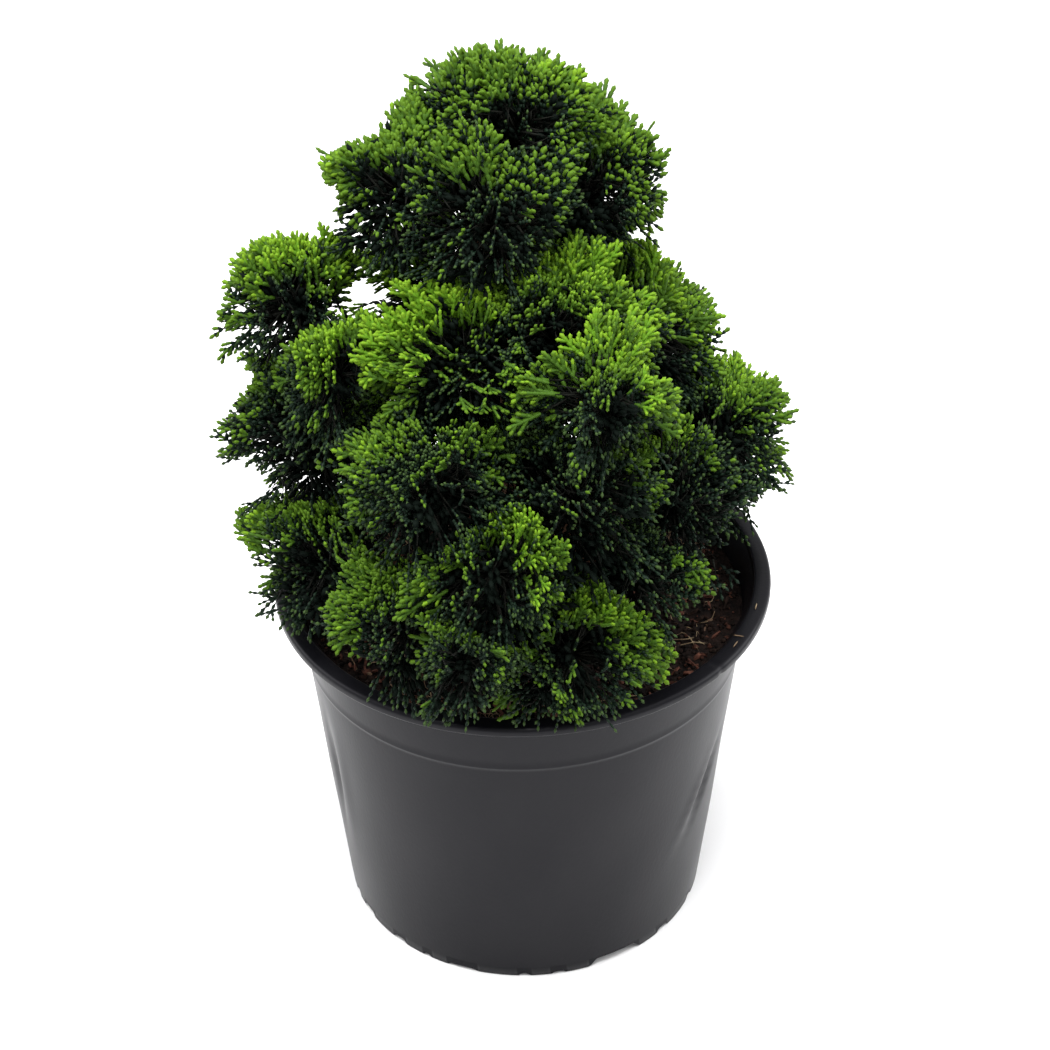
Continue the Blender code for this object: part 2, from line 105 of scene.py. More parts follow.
camera_data = bpy.data.cameras.new("studio_camera")
camera_data.sensor_width = 36.0
camera_data.lens = CAMERA_LENS
camera_data.clip_start = 0.02
camera_data.clip_end = 20.0
camera = place("studio_camera", camera_data)
camera.location = CAMERA_PLACE
camera.rotation_mode = "QUATERNION"
camera.rotation_quaternion = aimed(CAMERA_PLACE, CAMERA_AIM) @ Quaternion((0.0, 0.0, 1.0), CAMERA_ROLL)
bpy.context.scene.camera = camera

for name, spot, size, power in LIGHTS:
    lamp = bpy.data.lights.new(name, "AREA")
    lamp.shape = "DISK"
    lamp.size = size
    lamp.energy = power
    holder = place(name, lamp)
    holder.location = spot
    holder.rotation_mode = "QUATERNION"
    holder.rotation_quaternion = aimed(spot, LIGHT_AIM)

world = bpy.data.worlds.new("white_studio")
world.use_nodes = True
sky = world.node_tree
way_up = sky.nodes.new("ShaderNodeSeparateXYZ")
sky.links.new(sky.nodes.new("ShaderNodeTexCoord").outputs["Generated"], way_up.inputs["Vector"])
fade = sky.nodes.new("ShaderNodeValToRGB")
for element, spot, colour in zip(fade.color_ramp.elements, WORLD_FADE, (WORLD_HORIZON, WORLD_ZENITH)):
    element.position = spot
    element.color = (*colour, 1.0)
sky.links.new(way_up.outputs["Z"], fade.inputs["Fac"])
sky.links.new(fade.outputs["Color"], sky.nodes["Background"].inputs["Color"])
sky.nodes["Background"].inputs["Strength"].default_value = WORLD_STRENGTH
bpy.context.scene.world = world
bpy.context.scene.view_settings.view_transform = "Standard"

floor_mesh = bpy.data.meshes.new("studio_floor")
floor_corners = ((-1.0, -1.0), (1.0, -1.0), (1.0, 1.0), (-1.0, 1.0))
floor_mesh.from_pydata([(x * FLOOR_HALF, y * FLOOR_HALF, 0.0) for x, y in floor_corners], [], [(0, 1, 2, 3)])
floor_paper, shader = plain_material("floor_paper", FLOOR_COLOUR, 0.85, 0.2)
tree = floor_paper.node_tree
bounce = tree.nodes.new("ShaderNodeMix")
bounce.data_type = "RGBA"
bounce.inputs["A"].default_value = (*FLOOR_COLOUR, 1.0)
bounce.inputs["B"].default_value = (*FLOOR_BOUNCE, 1.0)
tree.links.new(tree.nodes.new("ShaderNodeLightPath").outputs["Is Diffuse Ray"], bounce.inputs["Factor"])
tree.links.new(bounce.outputs["Result"], shader.inputs["Base Color"])
floor_mesh.materials.append(floor_paper)
place("studio_floor", floor_mesh)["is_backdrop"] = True


# ==================================================================== nursery pot
# The pot is thin black polypropylene, blown in a mould: a rolled flange for a
# rim, a fine collar line below it, and a foot with open notches for drainage.
# It is a little out of round, creased where it has been gripped, and dusty.
RIM_RADIUS = 0.0950
RIM_BORE = 0.0884
RIM_TOP = 0.1466
RIM_THICK = 0.0042
WALL_TOP_RADIUS = 0.0872
COLLAR_RADIUS = 0.0842
COLLAR_TOP = 0.1184
COLLAR_THICK = 0.0014
WALL = 0.0013
BASE_RADIUS = 0.0715
CHANNEL_RADIUS = 0.0500
CHANNEL_HEIGHT = 0.0040
FLOOR_THICK = 0.0018
DISC_RADIUS = 0.026
POT_STEPS = 480
POT_OVAL = 0.0006
WALL_RIPPLE = 0.00010
RIM_WAVE = 0.00025
POT_COLOUR = (0.0030, 0.0030, 0.0046)
POT_DUSTY = (0.0085, 0.0083, 0.0098)
POT_SHEEN = (0.93, 0.92, 1.0)
# roughness and specular level, roughness over the cloudy film, weight and roughness of the sheen
POT_FINISH = (0.33, 0.11)
POT_HAZE = ((0.25, (0.29,) * 3), (0.75, (0.40,) * 3))
POT_COAT = (0.085, 0.16)
# notches round the foot: middle in degrees, half width in degrees, height
NOTCHES = (
    (-161.0, 1.6, 0.0020), (-151.5, 3.2, 0.0022), (-134.5, 2.4, 0.0020), (-123.0, 1.2, 0.0016),
    (-110.5, 4.6, 0.0013), (-90.5, 1.5, 0.0016), (-79.5, 2.0, 0.0013), (-60.0, 8.2, 0.0036),
    (-40.0, 2.4, 0.0020), (-22.5, 1.6, 0.0018), (-6.0, 2.2, 0.0018), (11.0, 5.0, 0.0022),
    (31.0, 1.8, 0.0018), (46.0, 2.4, 0.0016), (66.0, 6.5, 0.0030), (86.0, 1.6, 0.0016),
    (99.0, 2.0, 0.0018), (118.0, 4.2, 0.0020), (138.0, 1.8, 0.0016), (154.0, 2.6, 0.0020),
    (176.0, 4.0, 0.0020),
)
# creases in the wall: angle and height of the middle, half width in degrees, half
# height, depth, and how many degrees they slant in a metre of height
CREASES = (
    (-157.5, 0.072, 2.6, 0.0210, 0.0017, 60.0), (-151.5, 0.070, 3.0, 0.0240, -0.0006, 60.0),
    (-27.0, 0.070, 2.6, 0.0130, 0.0019, 420.0), (-33.0, 0.068, 2.4, 0.0150, -0.0007, 420.0),
    (-84.4, 0.0648, 1.1, 0.0011, 0.0004, 0.0), (24.0, 0.084, 4.0, 0.0200, 0.0010, 100.0),
    (112.0, 0.050, 3.0, 0.0160, 0.0011, -80.0), (160.0, 0.090, 5.0, 0.0120, 0.0008, 0.0),
)
# nicks in the rim: middle and half width in degrees, depth
RIM_NICKS = ((-39.5, 0.55, 0.0005), (140.5, 0.50, 0.0004))


def turn_apart(first, second):
    """Smallest turn from one angle in degrees to another."""
    return (first - second + 180.0) % 360.0 - 180.0


def straight_rows(first, last, parts, picked, role):
    """Rows at some of the equal parts of a straight stretch."""
    span, rise = last[0] - first[0], last[1] - first[1]
    return [(first[0] + span * index / parts, first[1] + rise * index / parts, role) for index in picked]


def bend_rows(radius, height, wide, tall, start, end, steps):
    """Rows round a bend of the rim, from one angle in degrees to another."""
    turns = [math.radians(start + (end - start) * index / (steps - 1)) for index in range(steps)]
    return [(radius + wide * math.cos(turn), height + tall * math.sin(turn), "rim") for turn in turns]


def pot_rows():
    """Outline of the pot's wall as (radius, height, role), from inside floor to underside."""
    under_rim = RIM_TOP - RIM_THICK
    inside = CHANNEL_HEIGHT + FLOOR_THICK
    rows = [(0.0, FLOOR_THICK, ""), (DISC_RADIUS, FLOOR_THICK, "")]
    rows += [(CHANNEL_RADIUS - 0.0006, FLOOR_THICK, ""), (CHANNEL_RADIUS + 0.0012, inside, "")]
    low, high = (BASE_RADIUS - WALL + 0.0005, inside), (COLLAR_RADIUS - 0.0012 - WALL, COLLAR_TOP - 0.0016)
    rows += straight_rows(low, high, 8, range(9), "wall")
    rows += [(WALL_TOP_RADIUS - WALL, under_rim, "top"), (RIM_BORE - 0.0004, RIM_TOP - 0.0020, "rim")]
    rows += bend_rows(RIM_BORE + 0.0009, RIM_TOP - 0.0008, 0.0009, 0.0008, 180.0, 90.0, 5)
    rows.append((0.5 * (RIM_BORE + RIM_RADIUS), RIM_TOP - 0.0001, "rim"))
    rows += bend_rows(RIM_RADIUS - 0.0018, RIM_TOP - 0.0020, 0.0018, 0.0018, 90.0, 0.0, 7)
    rows += bend_rows(RIM_RADIUS - 0.0010, under_rim + 0.0010, 0.0010, 0.0010, 0.0, -90.0, 5)
    rows.append((WALL_TOP_RADIUS + 0.0009, under_rim, "top"))
    rows.append((WALL_TOP_RADIUS + 0.0001, under_rim - 0.0006, "top"))
    rows += straight_rows((WALL_TOP_RADIUS, under_rim), (COLLAR_RADIUS, COLLAR_TOP), 7, range(1, 7), "top")
    rows += [
        (COLLAR_RADIUS + 0.0001, COLLAR_TOP + 0.0008, "top"),
        (COLLAR_RADIUS + 0.0002, COLLAR_TOP, "top"),
        (COLLAR_RADIUS + 0.0001, COLLAR_TOP - 0.0006, "top"),
        (COLLAR_RADIUS - 0.0003, COLLAR_TOP - 0.0012, "wall"),
    ]
    top = (COLLAR_RADIUS - 0.0004, COLLAR_TOP - COLLAR_THICK - 0.0009)
    rows += straight_rows(top, (BASE_RADIUS, 0.0), 24, range(24), "wall")
    foot = WALL + 0.0002
    rows += [
        (BASE_RADIUS + 0.0001, 0.0052, "wall"),
        (BASE_RADIUS, 0.0004, "foot"),
        (BASE_RADIUS - 0.0004, 0.0, "foot"),
        (BASE_RADIUS - foot + 0.0003, 0.0, "foot"),
        (BASE_RADIUS - foot, 0.0004, "foot"),
        (BASE_RADIUS - foot, CHANNEL_HEIGHT + 0.0002, "under"),
        (CHANNEL_RADIUS + 0.0020, CHANNEL_HEIGHT + 0.0002, ""),
        (CHANNEL_RADIUS + 0.0003, 0.0004, ""),
        (CHANNEL_RADIUS - 0.0006, 0.0, ""),
        (DISC_RADIUS, 0.0, ""),
        (0.0, 0.0, ""),
    ]
    return rows


def pot_surface():
    """Vertices and faces of the pot, turned and then knocked out of true."""
    rows = pot_rows()
    turns = np.arange(POT_STEPS) * 360.0 / POT_STEPS - 180.0
    cos, sin = np.cos(np.radians(turns)), np.sin(np.radians(turns))
    two_lobes, three_lobes = np.radians(2.0 * (turns - 38.0)), np.radians(3.0 * (turns + 20.0))
    oval = POT_OVAL * (np.cos(two_lobes) + 0.35 * np.cos(three_lobes))
    lift = np.zeros(POT_STEPS)
    for middle, half, height in NOTCHES:
        apart = np.abs(turn_apart(turns, middle))
        edge = 0.55 + 0.10 * half
        lift = np.maximum(lift, height * np.clip((half + edge - apart) / (2.0 * edge), 0.0, 1.0))
    nick = np.zeros(POT_STEPS)
    for middle, half, depth in RIM_NICKS:
        nick = np.maximum(nick, depth * np.exp(-(turn_apart(turns, middle) / half) ** 2))
    verts, faces, starts = [], [], []
    for radius, height, role in rows:
        starts.append(len(verts))
        if radius == 0.0:
            verts.append((0.0, 0.0, height))
            continue
        reach = np.full(POT_STEPS, radius)
        level = np.full(POT_STEPS, height)
        if role in ("wall", "top", "rim", "foot", "under"):
            share = min(1.0, height / COLLAR_TOP)
            reach = reach + oval * (0.15 + 0.85 * share)
        if role == "wall":
            for middle, tall, wide, span, depth, slant in CREASES:
                across = (turn_apart(turns, middle + slant * (height - tall)) / wide) ** 2
                reach = reach - depth * np.exp(-across - ((height - tall) / span) ** 2)
            ripple = np.sin(np.radians(turns * 5.0 + 40.0) + height * 60.0)
            ripple += np.sin(np.radians(turns * 8.0) - height * 90.0)
            reach = reach + WALL_RIPPLE * ripple * np.sin(math.pi * min(1.0, height / COLLAR_TOP))
        if role == "foot":
            level = np.maximum(level, lift)
        if role == "rim":
            reach = reach - nick * (1.0 if radius > RIM_BORE + 0.003 else 0.0)
            level = level - nick * (0.6 if height > RIM_TOP - 0.001 else 0.0)
            wave = np.cos(np.radians(turns * 2.0 - 30.0)) * (height - RIM_TOP + RIM_THICK) / RIM_THICK
            level = level + RIM_WAVE * (wave - 1.0)
        verts += [tuple(row) for row in np.stack((reach * cos, reach * sin, level), axis=1)]
    for row, (first, second) in enumerate(zip(starts, starts[1:])):
        for index in range(POT_STEPS):
            after = (index + 1) % POT_STEPS
            if row == 0:
                faces.append((first, second + index, second + after))
            elif row == len(rows) - 2:
                faces.append((first + after, first + index, second))
            else:
                faces.append((first + index, second + index, second + after, first + after))
    return verts, faces


GRAIN_SOCKETS = (
    ("Dark", "Color", (0.1, 0.1, 0.1, 1.0)), ("Light", "Color", (0.5, 0.5, 0.5, 1.0)),
    ("Low", "Float", 0.35), ("High", "Float", 0.68),
    ("Cloud Scale", "Float", 100.0), ("Grain Scale", "Float", 500.0), ("Stretch", "Vector", (1.0, 1.0, 1.0)),
    ("Grain Strength", "Float", 0.5), ("Grain Depth", "Float", 0.0005),
)
CLOUD_DETAIL = 4.0
GRAIN_DETAIL = 2.0


def grained_group():
    """Node group for rough matter: cloudy mottling of two colours, and a fine raised grain."""
    group = bpy.data.node_groups.new("mottled_grain", "ShaderNodeTree")
    for name, kind, value in GRAIN_SOCKETS:
        socket = group.interface.new_socket(name=name, in_out="INPUT", socket_type="NodeSocket" + kind)
        socket.default_value = value
    for name, kind in (("Colour", "Color"), ("Cloud", "Float"), ("Normal", "Vector")):
        group.interface.new_socket(name=name, in_out="OUTPUT", socket_type="NodeSocket" + kind)
    given, made, spot, mapping, cloud, grain, span, blend, bump = [group.nodes.new(kind) for kind in (
        "NodeGroupInput", "NodeGroupOutput", "ShaderNodeTexCoord", "ShaderNodeMapping", "ShaderNodeTexNoise",
        "ShaderNodeTexNoise", "ShaderNodeMapRange", "ShaderNodeMix", "ShaderNodeBump",
    )]
    blend.data_type = "RGBA"
    cloud.inputs["Detail"].default_value = CLOUD_DETAIL
    grain.inputs["Detail"].default_value = GRAIN_DETAIL
    for source, value, target, socket in (
        (spot, "Object", mapping, "Vector"), (given, "Stretch", mapping, "Scale"),
        (mapping, "Vector", cloud, "Vector"), (given, "Cloud Scale", cloud, "Scale"),
        (mapping, "Vector", grain, "Vector"), (given, "Grain Scale", grain, "Scale"),
        (cloud, "Fac", span, "Value"), (given, "Low", span, "From Min"), (given, "High", span, "From Max"),
        (span, "Result", blend, "Factor"), (given, "Dark", blend, "A"), (given, "Light", blend, "B"),
        (grain, "Fac", bump, "Height"), (given, "Grain Strength", bump, "Strength"),
        (given, "Grain Depth", bump, "Distance"), (blend, "Result", made, "Colour"),
        (cloud, "Fac", made, "Cloud"), (bump, "Normal", made, "Normal"),
    ):
        group.links.new(source.outputs[value], target.inputs[socket])
    return group


grained = grained_group()


def grained_material(name, dark, light, roughness, specular, values):
    """Material whose colour and raised grain come from the shared group; returns all its parts."""
    material, shader = plain_material(name, dark, roughness, specular)
    tree = material.node_tree
    node = tree.nodes.new("ShaderNodeGroup")
    node.node_tree = grained
    for key, value in (("Dark", (*dark, 1.0)), ("Light", (*light, 1.0)), *values.items()):
        node.inputs[key].default_value = value
    tree.links.new(node.outputs["Colour"], shader.inputs["Base Color"])
    tree.links.new(node.outputs["Normal"], shader.inputs["Normal"])
    return material, shader, node


def ramp_node(tree, source, stops):
    """Colour ramp over a node's value."""
    ramp = tree.nodes.new("ShaderNodeValToRGB")
    while len(ramp.color_ramp.elements) < len(stops):
        ramp.color_ramp.elements.new(0.5)
    for element, (spot, colour) in zip(ramp.color_ramp.elements, stops):
        element.position = spot
        element.color = (*colour, 1.0)
    tree.links.new(source, ramp.inputs["Fac"])
    return ramp


def pot_material():
    """Black plastic with a thin film of dust and a slight skin texture."""
    material, shader, film = grained_material("pot_plastic", POT_COLOUR, POT_DUSTY, *POT_FINISH, {
        "Low": 0.35, "High": 0.85, "Cloud Scale": 26.0, "Grain Scale": 900.0, "Stretch": (1.0, 1.0, 0.45),
        "Grain Strength": 0.10, "Grain Depth": 0.0004,
    })
    haze = ramp_node(material.node_tree, film.outputs["Cloud"], POT_HAZE)
    material.node_tree.links.new(haze.outputs["Color"], shader.inputs["Roughness"])
    shader.inputs["Specular Tint"].default_value = (*POT_SHEEN, 1.0)
    shader.inputs["Coat Weight"].default_value, shader.inputs["Coat Roughness"].default_value = POT_COAT
    return material


pot_verts, pot_faces = pot_surface()
pot_mesh = bpy.data.meshes.new("pot_wall")
pot_mesh.from_pydata(pot_verts, [], pot_faces)
pot_body = bmesh.new()
pot_body.from_mesh(pot_mesh)
bmesh.ops.recalc_face_normals(pot_body, faces=pot_body.faces)
pot_body.to_mesh(pot_mesh)
pot_body.free()
pot_mesh.shade_smooth()
pot_mesh.set_sharp_from_angle(angle=math.radians(50.0))
pot_mesh.materials.append(pot_material())
pot_wall = place("pot_wall", pot_mesh)
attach(pot_wall, "root")
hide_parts("pot")


# ==================================================================== potting soil
# Peat and composted bark fill the pot to a finger's width below the rim.  The
# surface is lumpy, lower at the wall, with crumbs, torn bark and bits of straw.
SOIL_TOP = 0.1350
SOIL_DIP = 0.0020
SOIL_EDGE = 0.0846
SOIL_LOW = 0.0061
SOIL_RINGS = 70
SOIL_STEPS = 200
TRUNK_ROOM = 0.012
CRUMBS = 3400
CHIPS = 760
STRAWS = 300
# loose straws on the rim: angle in degrees, radius, heading
RIM_STRAWS = (
    (-15.6, 0.0912, 1.35), (-27.9, 0.0905, 2.9), (-31.0, 0.0918, 1.1), (63.0, 0.0915, 0.2),
    (171.0, 0.0908, 1.9),
)
RIM_STRAW_STEP = 0.0011
# waves of the surface: how many in a metre, where they start, how high
LUMPS = ((45.0, 0.7, 0.0016), (150.0, 4.1, 0.0015), (420.0, 9.3, 0.0008))
# piece, material, darkest and lightest colour, how fine the mottling is, roughness
EARTHS = (
    ("soil_bed", "peat", (0.0040, 0.0028, 0.0024), (0.024, 0.0130, 0.0100), 240.0, 0.95),
    ("soil_crumbs", "dark_crumb", (0.0060, 0.0040, 0.0034), (0.034, 0.0190, 0.0140), 300.0, 0.95),
    ("soil_bark_crumbs", "rust_crumb", (0.045, 0.018, 0.012), (0.150, 0.060, 0.040), 300.0, 0.95),
    ("soil_bark_chips_dark", "bark_chips_dark", (0.012, 0.0070, 0.0055), (0.044, 0.022, 0.015), 180.0, 0.85),
    ("soil_bark_chips_red", "bark_chips_red", (0.055, 0.020, 0.014), (0.210, 0.085, 0.056), 180.0, 0.85),
    ("soil_bark_chips_tan", "bark_chips_tan", (0.090, 0.050, 0.032), (0.270, 0.175, 0.110), 180.0, 0.85),
    ("soil_straw", "straw", (0.130, 0.070, 0.042), (0.480, 0.370, 0.220), 120.0, 0.7),
)
EARTH_SPECULAR = 0.22
SOIL_SEED = 77
# every eleventh crumb is larger, every fifth is bark, and chips take turns at a colour
LARGE_CRUMB = 1.6
CHIP_ORDER = (0, 1, 0, 2, 1)


def soil_level(x, y):
    """Height of the soil's lumpy surface."""
    out = math.hypot(x, y) / SOIL_EDGE
    lump = sum(noise.noise(Vector((x * often, y * often, start))) * high for often, start, high in LUMPS)
    return SOIL_TOP - SOIL_DIP * out * out + lump * (1.0 - 0.55 * out ** 6)


def soil_surface():
    """Lumpy top on a plain plug that follows the inside of the pot."""
    verts, faces = [(0.0, 0.0, soil_level(0.0, 0.0))], []
    for ring in range(1, SOIL_RINGS + 1):
        radius = SOIL_EDGE * (ring / SOIL_RINGS) ** 0.85
        for step in range(SOIL_STEPS):
            turn = 2.0 * math.pi * step / SOIL_STEPS
            x, y = radius * math.cos(turn), radius * math.sin(turn)
            verts.append((x, y, soil_level(x, y)))
    for radius, height in ((COLLAR_RADIUS - 0.0034, COLLAR_TOP - 0.0020), (BASE_RADIUS - 0.0014, SOIL_LOW)):
        for step in range(SOIL_STEPS):
            turn = 2.0 * math.pi * step / SOIL_STEPS
            verts.append((radius * math.cos(turn), radius * math.sin(turn), height))
    verts.append((0.0, 0.0, SOIL_LOW))
    for step in range(SOIL_STEPS):
        after = (step + 1) % SOIL_STEPS
        faces.append((0, 1 + step, 1 + after))
        for ring in range(SOIL_RINGS + 1):
            inner, outer = 1 + ring * SOIL_STEPS, 1 + (ring + 1) * SOIL_STEPS
            faces.append((inner + step, outer + step, outer + after, inner + after))
        last = 1 + (SOIL_RINGS + 1) * SOIL_STEPS
        faces.append((last + after, last + step, len(verts) - 1))
    return verts, faces


def joined(name, verts, faces, material, smooth=True):
    """One mesh object from plain lists of points and faces."""
    mesh = bpy.data.meshes.new(name)
    mesh.from_pydata(verts, [], faces)
    if smooth:
        mesh.shade_smooth()
    mesh.materials.append(material)
    return place(name, mesh)


def clod(centre, size, turn, squash, rule):
    """Irregular eight-sided crumb."""
    spots = []
    for axis in ((1, 0, 0), (0, 1, 0), (-1, 0, 0), (0, -1, 0), (0, 0, 1), (0, 0, -1)):
        point = Vector(axis) * size * rule.uniform(0.65, 1.25)
        point.z *= squash
        spots.append(centre + turn @ point)
    return spots, ((0, 1, 4), (1, 2, 4), (2, 3, 4), (3, 0, 4), (1, 0, 5), (2, 1, 5), (3, 2, 5), (0, 3, 5))


def chip(centre, long, wide, thick, turn, rule):
    """Torn flake of bark: a skewed six-sided slab, thinner at its ends."""
    spots = []
    for end, share in ((-1.0, 0.55), (-0.35, 1.0), (0.45, 0.9), (1.0, 0.7)):
        for side in (-1.0, 1.0):
            for face in (-1.0, 1.0):
                out = side * wide * 0.5 * share * rule.uniform(0.4, 1.2)
                point = Vector((end * long * 0.5, out, face * thick * 0.5 * share))
                point.z += rule.uniform(-0.2, 0.2) * thick
                spots.append(centre + turn @ point)
    faces = [(0, 1, 3, 2), (12, 14, 15, 13)]
    for row in (0, 4, 8):
        faces += [(row, row + 4, row + 5, row + 1), (row + 2, row + 3, row + 7, row + 6)]
        faces += [(row, row + 2, row + 6, row + 4), (row + 1, row + 5, row + 7, row + 3)]
    return spots, faces


def tube_faces(first, rings, sides):
    """Walls of a tube whose rings of points follow one another from a number."""
    faces = []
    for low in range(first, first + (rings - 1) * sides, sides):
        for side in range(sides):
            after = (side + 1) % sides
            faces.append((low + side, low + after, low + sides + after, low + sides + side))
    return faces


def strand(points, thick, sides=3):
    """Thin round stem through a few points, closed to a point at both ends."""
    verts = [points[0]]
    for index in range(1, len(points) - 1):
        way = (points[index + 1] - points[index - 1]).normalized()
        across = way.orthogonal().normalized()
        over = way.cross(across)
        for side in range(sides):
            turn = 2.0 * math.pi * side / sides
            verts.append(points[index] + (across * math.cos(turn) + over * math.sin(turn)) * thick)
    verts.append(points[-1])
    faces = tube_faces(1, len(points) - 2, sides)
    last = len(verts) - 1 - sides
    for side in range(sides):
        after = (side + 1) % sides
        faces += [(0, 1 + after, 1 + side), (last + side, last + after, len(verts) - 1)]
    return verts, faces


def gather(pieces):
    """Join many small (points, faces) pieces into one pair of lists."""
    verts, faces = [], []
    for points, sides in pieces:
        base = len(verts)
        verts += [tuple(point) for point in points]
        faces += [tuple(base + corner for corner in side) for side in sides]
    return verts, faces


def scatter_spot(rule, edge=SOIL_EDGE - 0.0022):
    """Place on the soil between the trunk and an edge."""
    turn = rule.uniform(0.0, 2.0 * math.pi)
    radius = TRUNK_ROOM + (edge - TRUNK_ROOM) * math.sqrt(rule.random())
    return radius * math.cos(turn), radius * math.sin(turn)


def tumbled(rule, tilt, roll=None):
    """Random turn about the upright, tipped by at most some angles."""
    turn = Matrix.Rotation(rule.uniform(0.0, 6.3), 3, "Z")
    if roll is not None:
        turn = turn @ Matrix.Rotation(rule.uniform(-roll, roll), 3, "Y")
    return turn @ Matrix.Rotation(rule.uniform(-tilt, tilt), 3, "X")


def earth_piece(shapes, name, finish, dark, light, scale, roughness):
    """Joined shapes in a mottled earthy colour with a fine crumbly bump."""
    material = grained_material(finish, dark, light, roughness, EARTH_SPECULAR, {
        "Cloud Scale": scale, "Grain Scale": scale * 5.0, "Grain Strength": 0.6, "Grain Depth": 0.0006,
    })[0]
    return joined(name, *gather(shapes), material, "chips" not in name)


soil_rule = random.Random(SOIL_SEED)
crumb_sets = ([], [])
for index in range(CRUMBS):
    x, y = scatter_spot(soil_rule)
    size = soil_rule.uniform(0.0005, 0.0016) * (LARGE_CRUMB if index % 11 == 0 else 1.0)
    spin = tumbled(soil_rule, 0.5)
    centre = Vector((x, y, soil_level(x, y) + size * 0.35))
    crumb_sets[index % 5 == 0].append(clod(centre, size, spin, 0.7, soil_rule))

chip_sets = ([], [], [])
for index in range(CHIPS):
    x, y = scatter_spot(soil_rule, SOIL_EDGE - 0.0050)
    long = soil_rule.uniform(0.0014, 0.0046) * soil_rule.choice((0.7, 1.0, 1.4))
    wide = long * soil_rule.uniform(0.12, 0.42)
    thick = soil_rule.uniform(0.0005, 0.0012)
    spin = tumbled(soil_rule, 0.6, 0.6)
    centre = Vector((x, y, soil_level(x, y) + thick * 0.8))
    chip_sets[CHIP_ORDER[index % 5]].append(chip(centre, long, wide, thick, spin, soil_rule))

straws = []
for index in range(STRAWS):
    x, y = scatter_spot(soil_rule, SOIL_EDGE - 0.0090)
    turn, long = soil_rule.uniform(0.0, 6.3), soil_rule.uniform(0.004, 0.015)
    bend = soil_rule.uniform(-1.1, 1.1)
    points = []
    for step in range(6):
        share = step / 5 - 0.5
        away = Vector((math.cos(turn + bend * share), math.sin(turn + bend * share), 0.0)) * long * share
        spot = Vector((x, y, 0.0)) + away
        spot.z = soil_level(spot.x, spot.y) + 0.0006 + 0.0012 * math.cos(share * 3.0) * soil_rule.random()
        points.append(spot)
    straws.append(strand(points, soil_rule.uniform(0.00012, 0.00028)))
for degrees, radius, heading in RIM_STRAWS:
    turn = math.radians(degrees)
    middle = Vector((radius * math.cos(turn), radius * math.sin(turn), RIM_TOP + 0.0002))
    along = Vector((math.cos(heading), math.sin(heading), 0.0)) * RIM_STRAW_STEP
    straws.append(strand([middle + along * (step - 2) for step in range(5)], 0.00028))
soil_parts = ([soil_surface()], *crumb_sets, *chip_sets, straws)
soil_pieces = [earth_piece(shapes, *row) for shapes, row in zip(soil_parts, EARTHS)]
for piece in soil_pieces:
    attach(piece, "root")
    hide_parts("soil")


# ==================================================================== trunk
# The stem is live wood, flared into its roots at the soil and leaning a little
# as it climbs.  Its thin red-brown bark is furrowed and shreds lengthwise.
TRUNK = (
    (0.0040, -0.0010, 0.1353, 0.0104),
    (0.0038, -0.0006, 0.1385, 0.0088),
    (0.0032, 0.0004, 0.1450, 0.0076),
    (0.0014, 0.0022, 0.1620, 0.0068),
    (-0.0014, 0.0046, 0.1880, 0.0060),
    (-0.0028, 0.0070, 0.2140, 0.0051),
    (-0.0016, 0.0088, 0.2400, 0.0042),
    (0.0010, 0.0100, 0.2640, 0.0034),
    (0.0028, 0.0108, 0.2860, 0.0026),
    (0.0030, 0.0114, 0.3040, 0.0019),
)
TRUNK_SIDES = 48
TRUNK_ROWS = 170
FLARE_LOBES = 5
FLARE_DEPTH = 0.22
FLARE_HEIGHT = 0.0090
BARK_RELIEF = 0.00060
BARK_DARK = (0.030, 0.017, 0.011)
BARK_LIGHT = (0.150, 0.078, 0.045)
BARK_FRAYED = (0.235, 0.150, 0.095)
BARK_EDGES = ((0.58, (0.0,) * 3), (0.76, (1.0,) * 3))


def trunk_at(height):
    """Centre and radius of the trunk at a height."""
    height = min(max(height, TRUNK[0][2]), TRUNK[-1][2])
    for low, high in zip(TRUNK, TRUNK[1:]):
        if height <= high[2]:
            share = (height - low[2]) / (high[2] - low[2])
            centre = Vector(low[:3]).lerp(Vector(high[:3]), share)
            return centre, low[3] + (high[3] - low[3]) * share
    return Vector(TRUNK[-1][:3]), TRUNK[-1][3]


def bark_relief(turn, along, girth):
    """Height of the shredding bark: long ridges broken by short cracks."""
    spot = Vector((math.cos(turn) * 2.2, math.sin(turn) * 2.2, along * 55.0))
    ridge = 1.0 - abs(noise.noise(spot)) * 2.4
    crack = noise.noise(Vector((math.cos(turn) * 4.5, math.sin(turn) * 4.5, along * 210.0)))
    return (ridge * 0.7 + crack * 0.5) * min(1.0, girth / 0.0050)


def capped_faces(rings, sides):
    """Walls of a tube and the flat caps at its ends."""
    last = (rings - 1) * sides
    return tube_faces(0, rings, sides) + [tuple(range(sides - 1, -1, -1)), tuple(range(last, last + sides))]


def bark_material():
    """Stringy bark: dark furrows, red-brown ridges and pale frayed edges."""
    material, shader, fibre = grained_material("bark", BARK_DARK, BARK_LIGHT, 0.85, 0.3, {
        "Low": 0.32, "High": 0.56, "Cloud Scale": 320.0, "Grain Scale": 420.0, "Stretch": (1.0, 1.0, 0.16),
        "Grain Strength": 0.8, "Grain Depth": 0.0006,
    })
    tree = material.node_tree
    frayed = tree.nodes.new("ShaderNodeMix")
    frayed.data_type = "RGBA"
    edges = ramp_node(tree, fibre.outputs["Cloud"], BARK_EDGES)
    tree.links.new(edges.outputs["Color"], frayed.inputs["Factor"])
    tree.links.new(fibre.outputs["Colour"], frayed.inputs["A"])
    frayed.inputs["B"].default_value = (*BARK_FRAYED, 1.0)
    tree.links.new(frayed.outputs["Result"], shader.inputs["Base Color"])
    return material


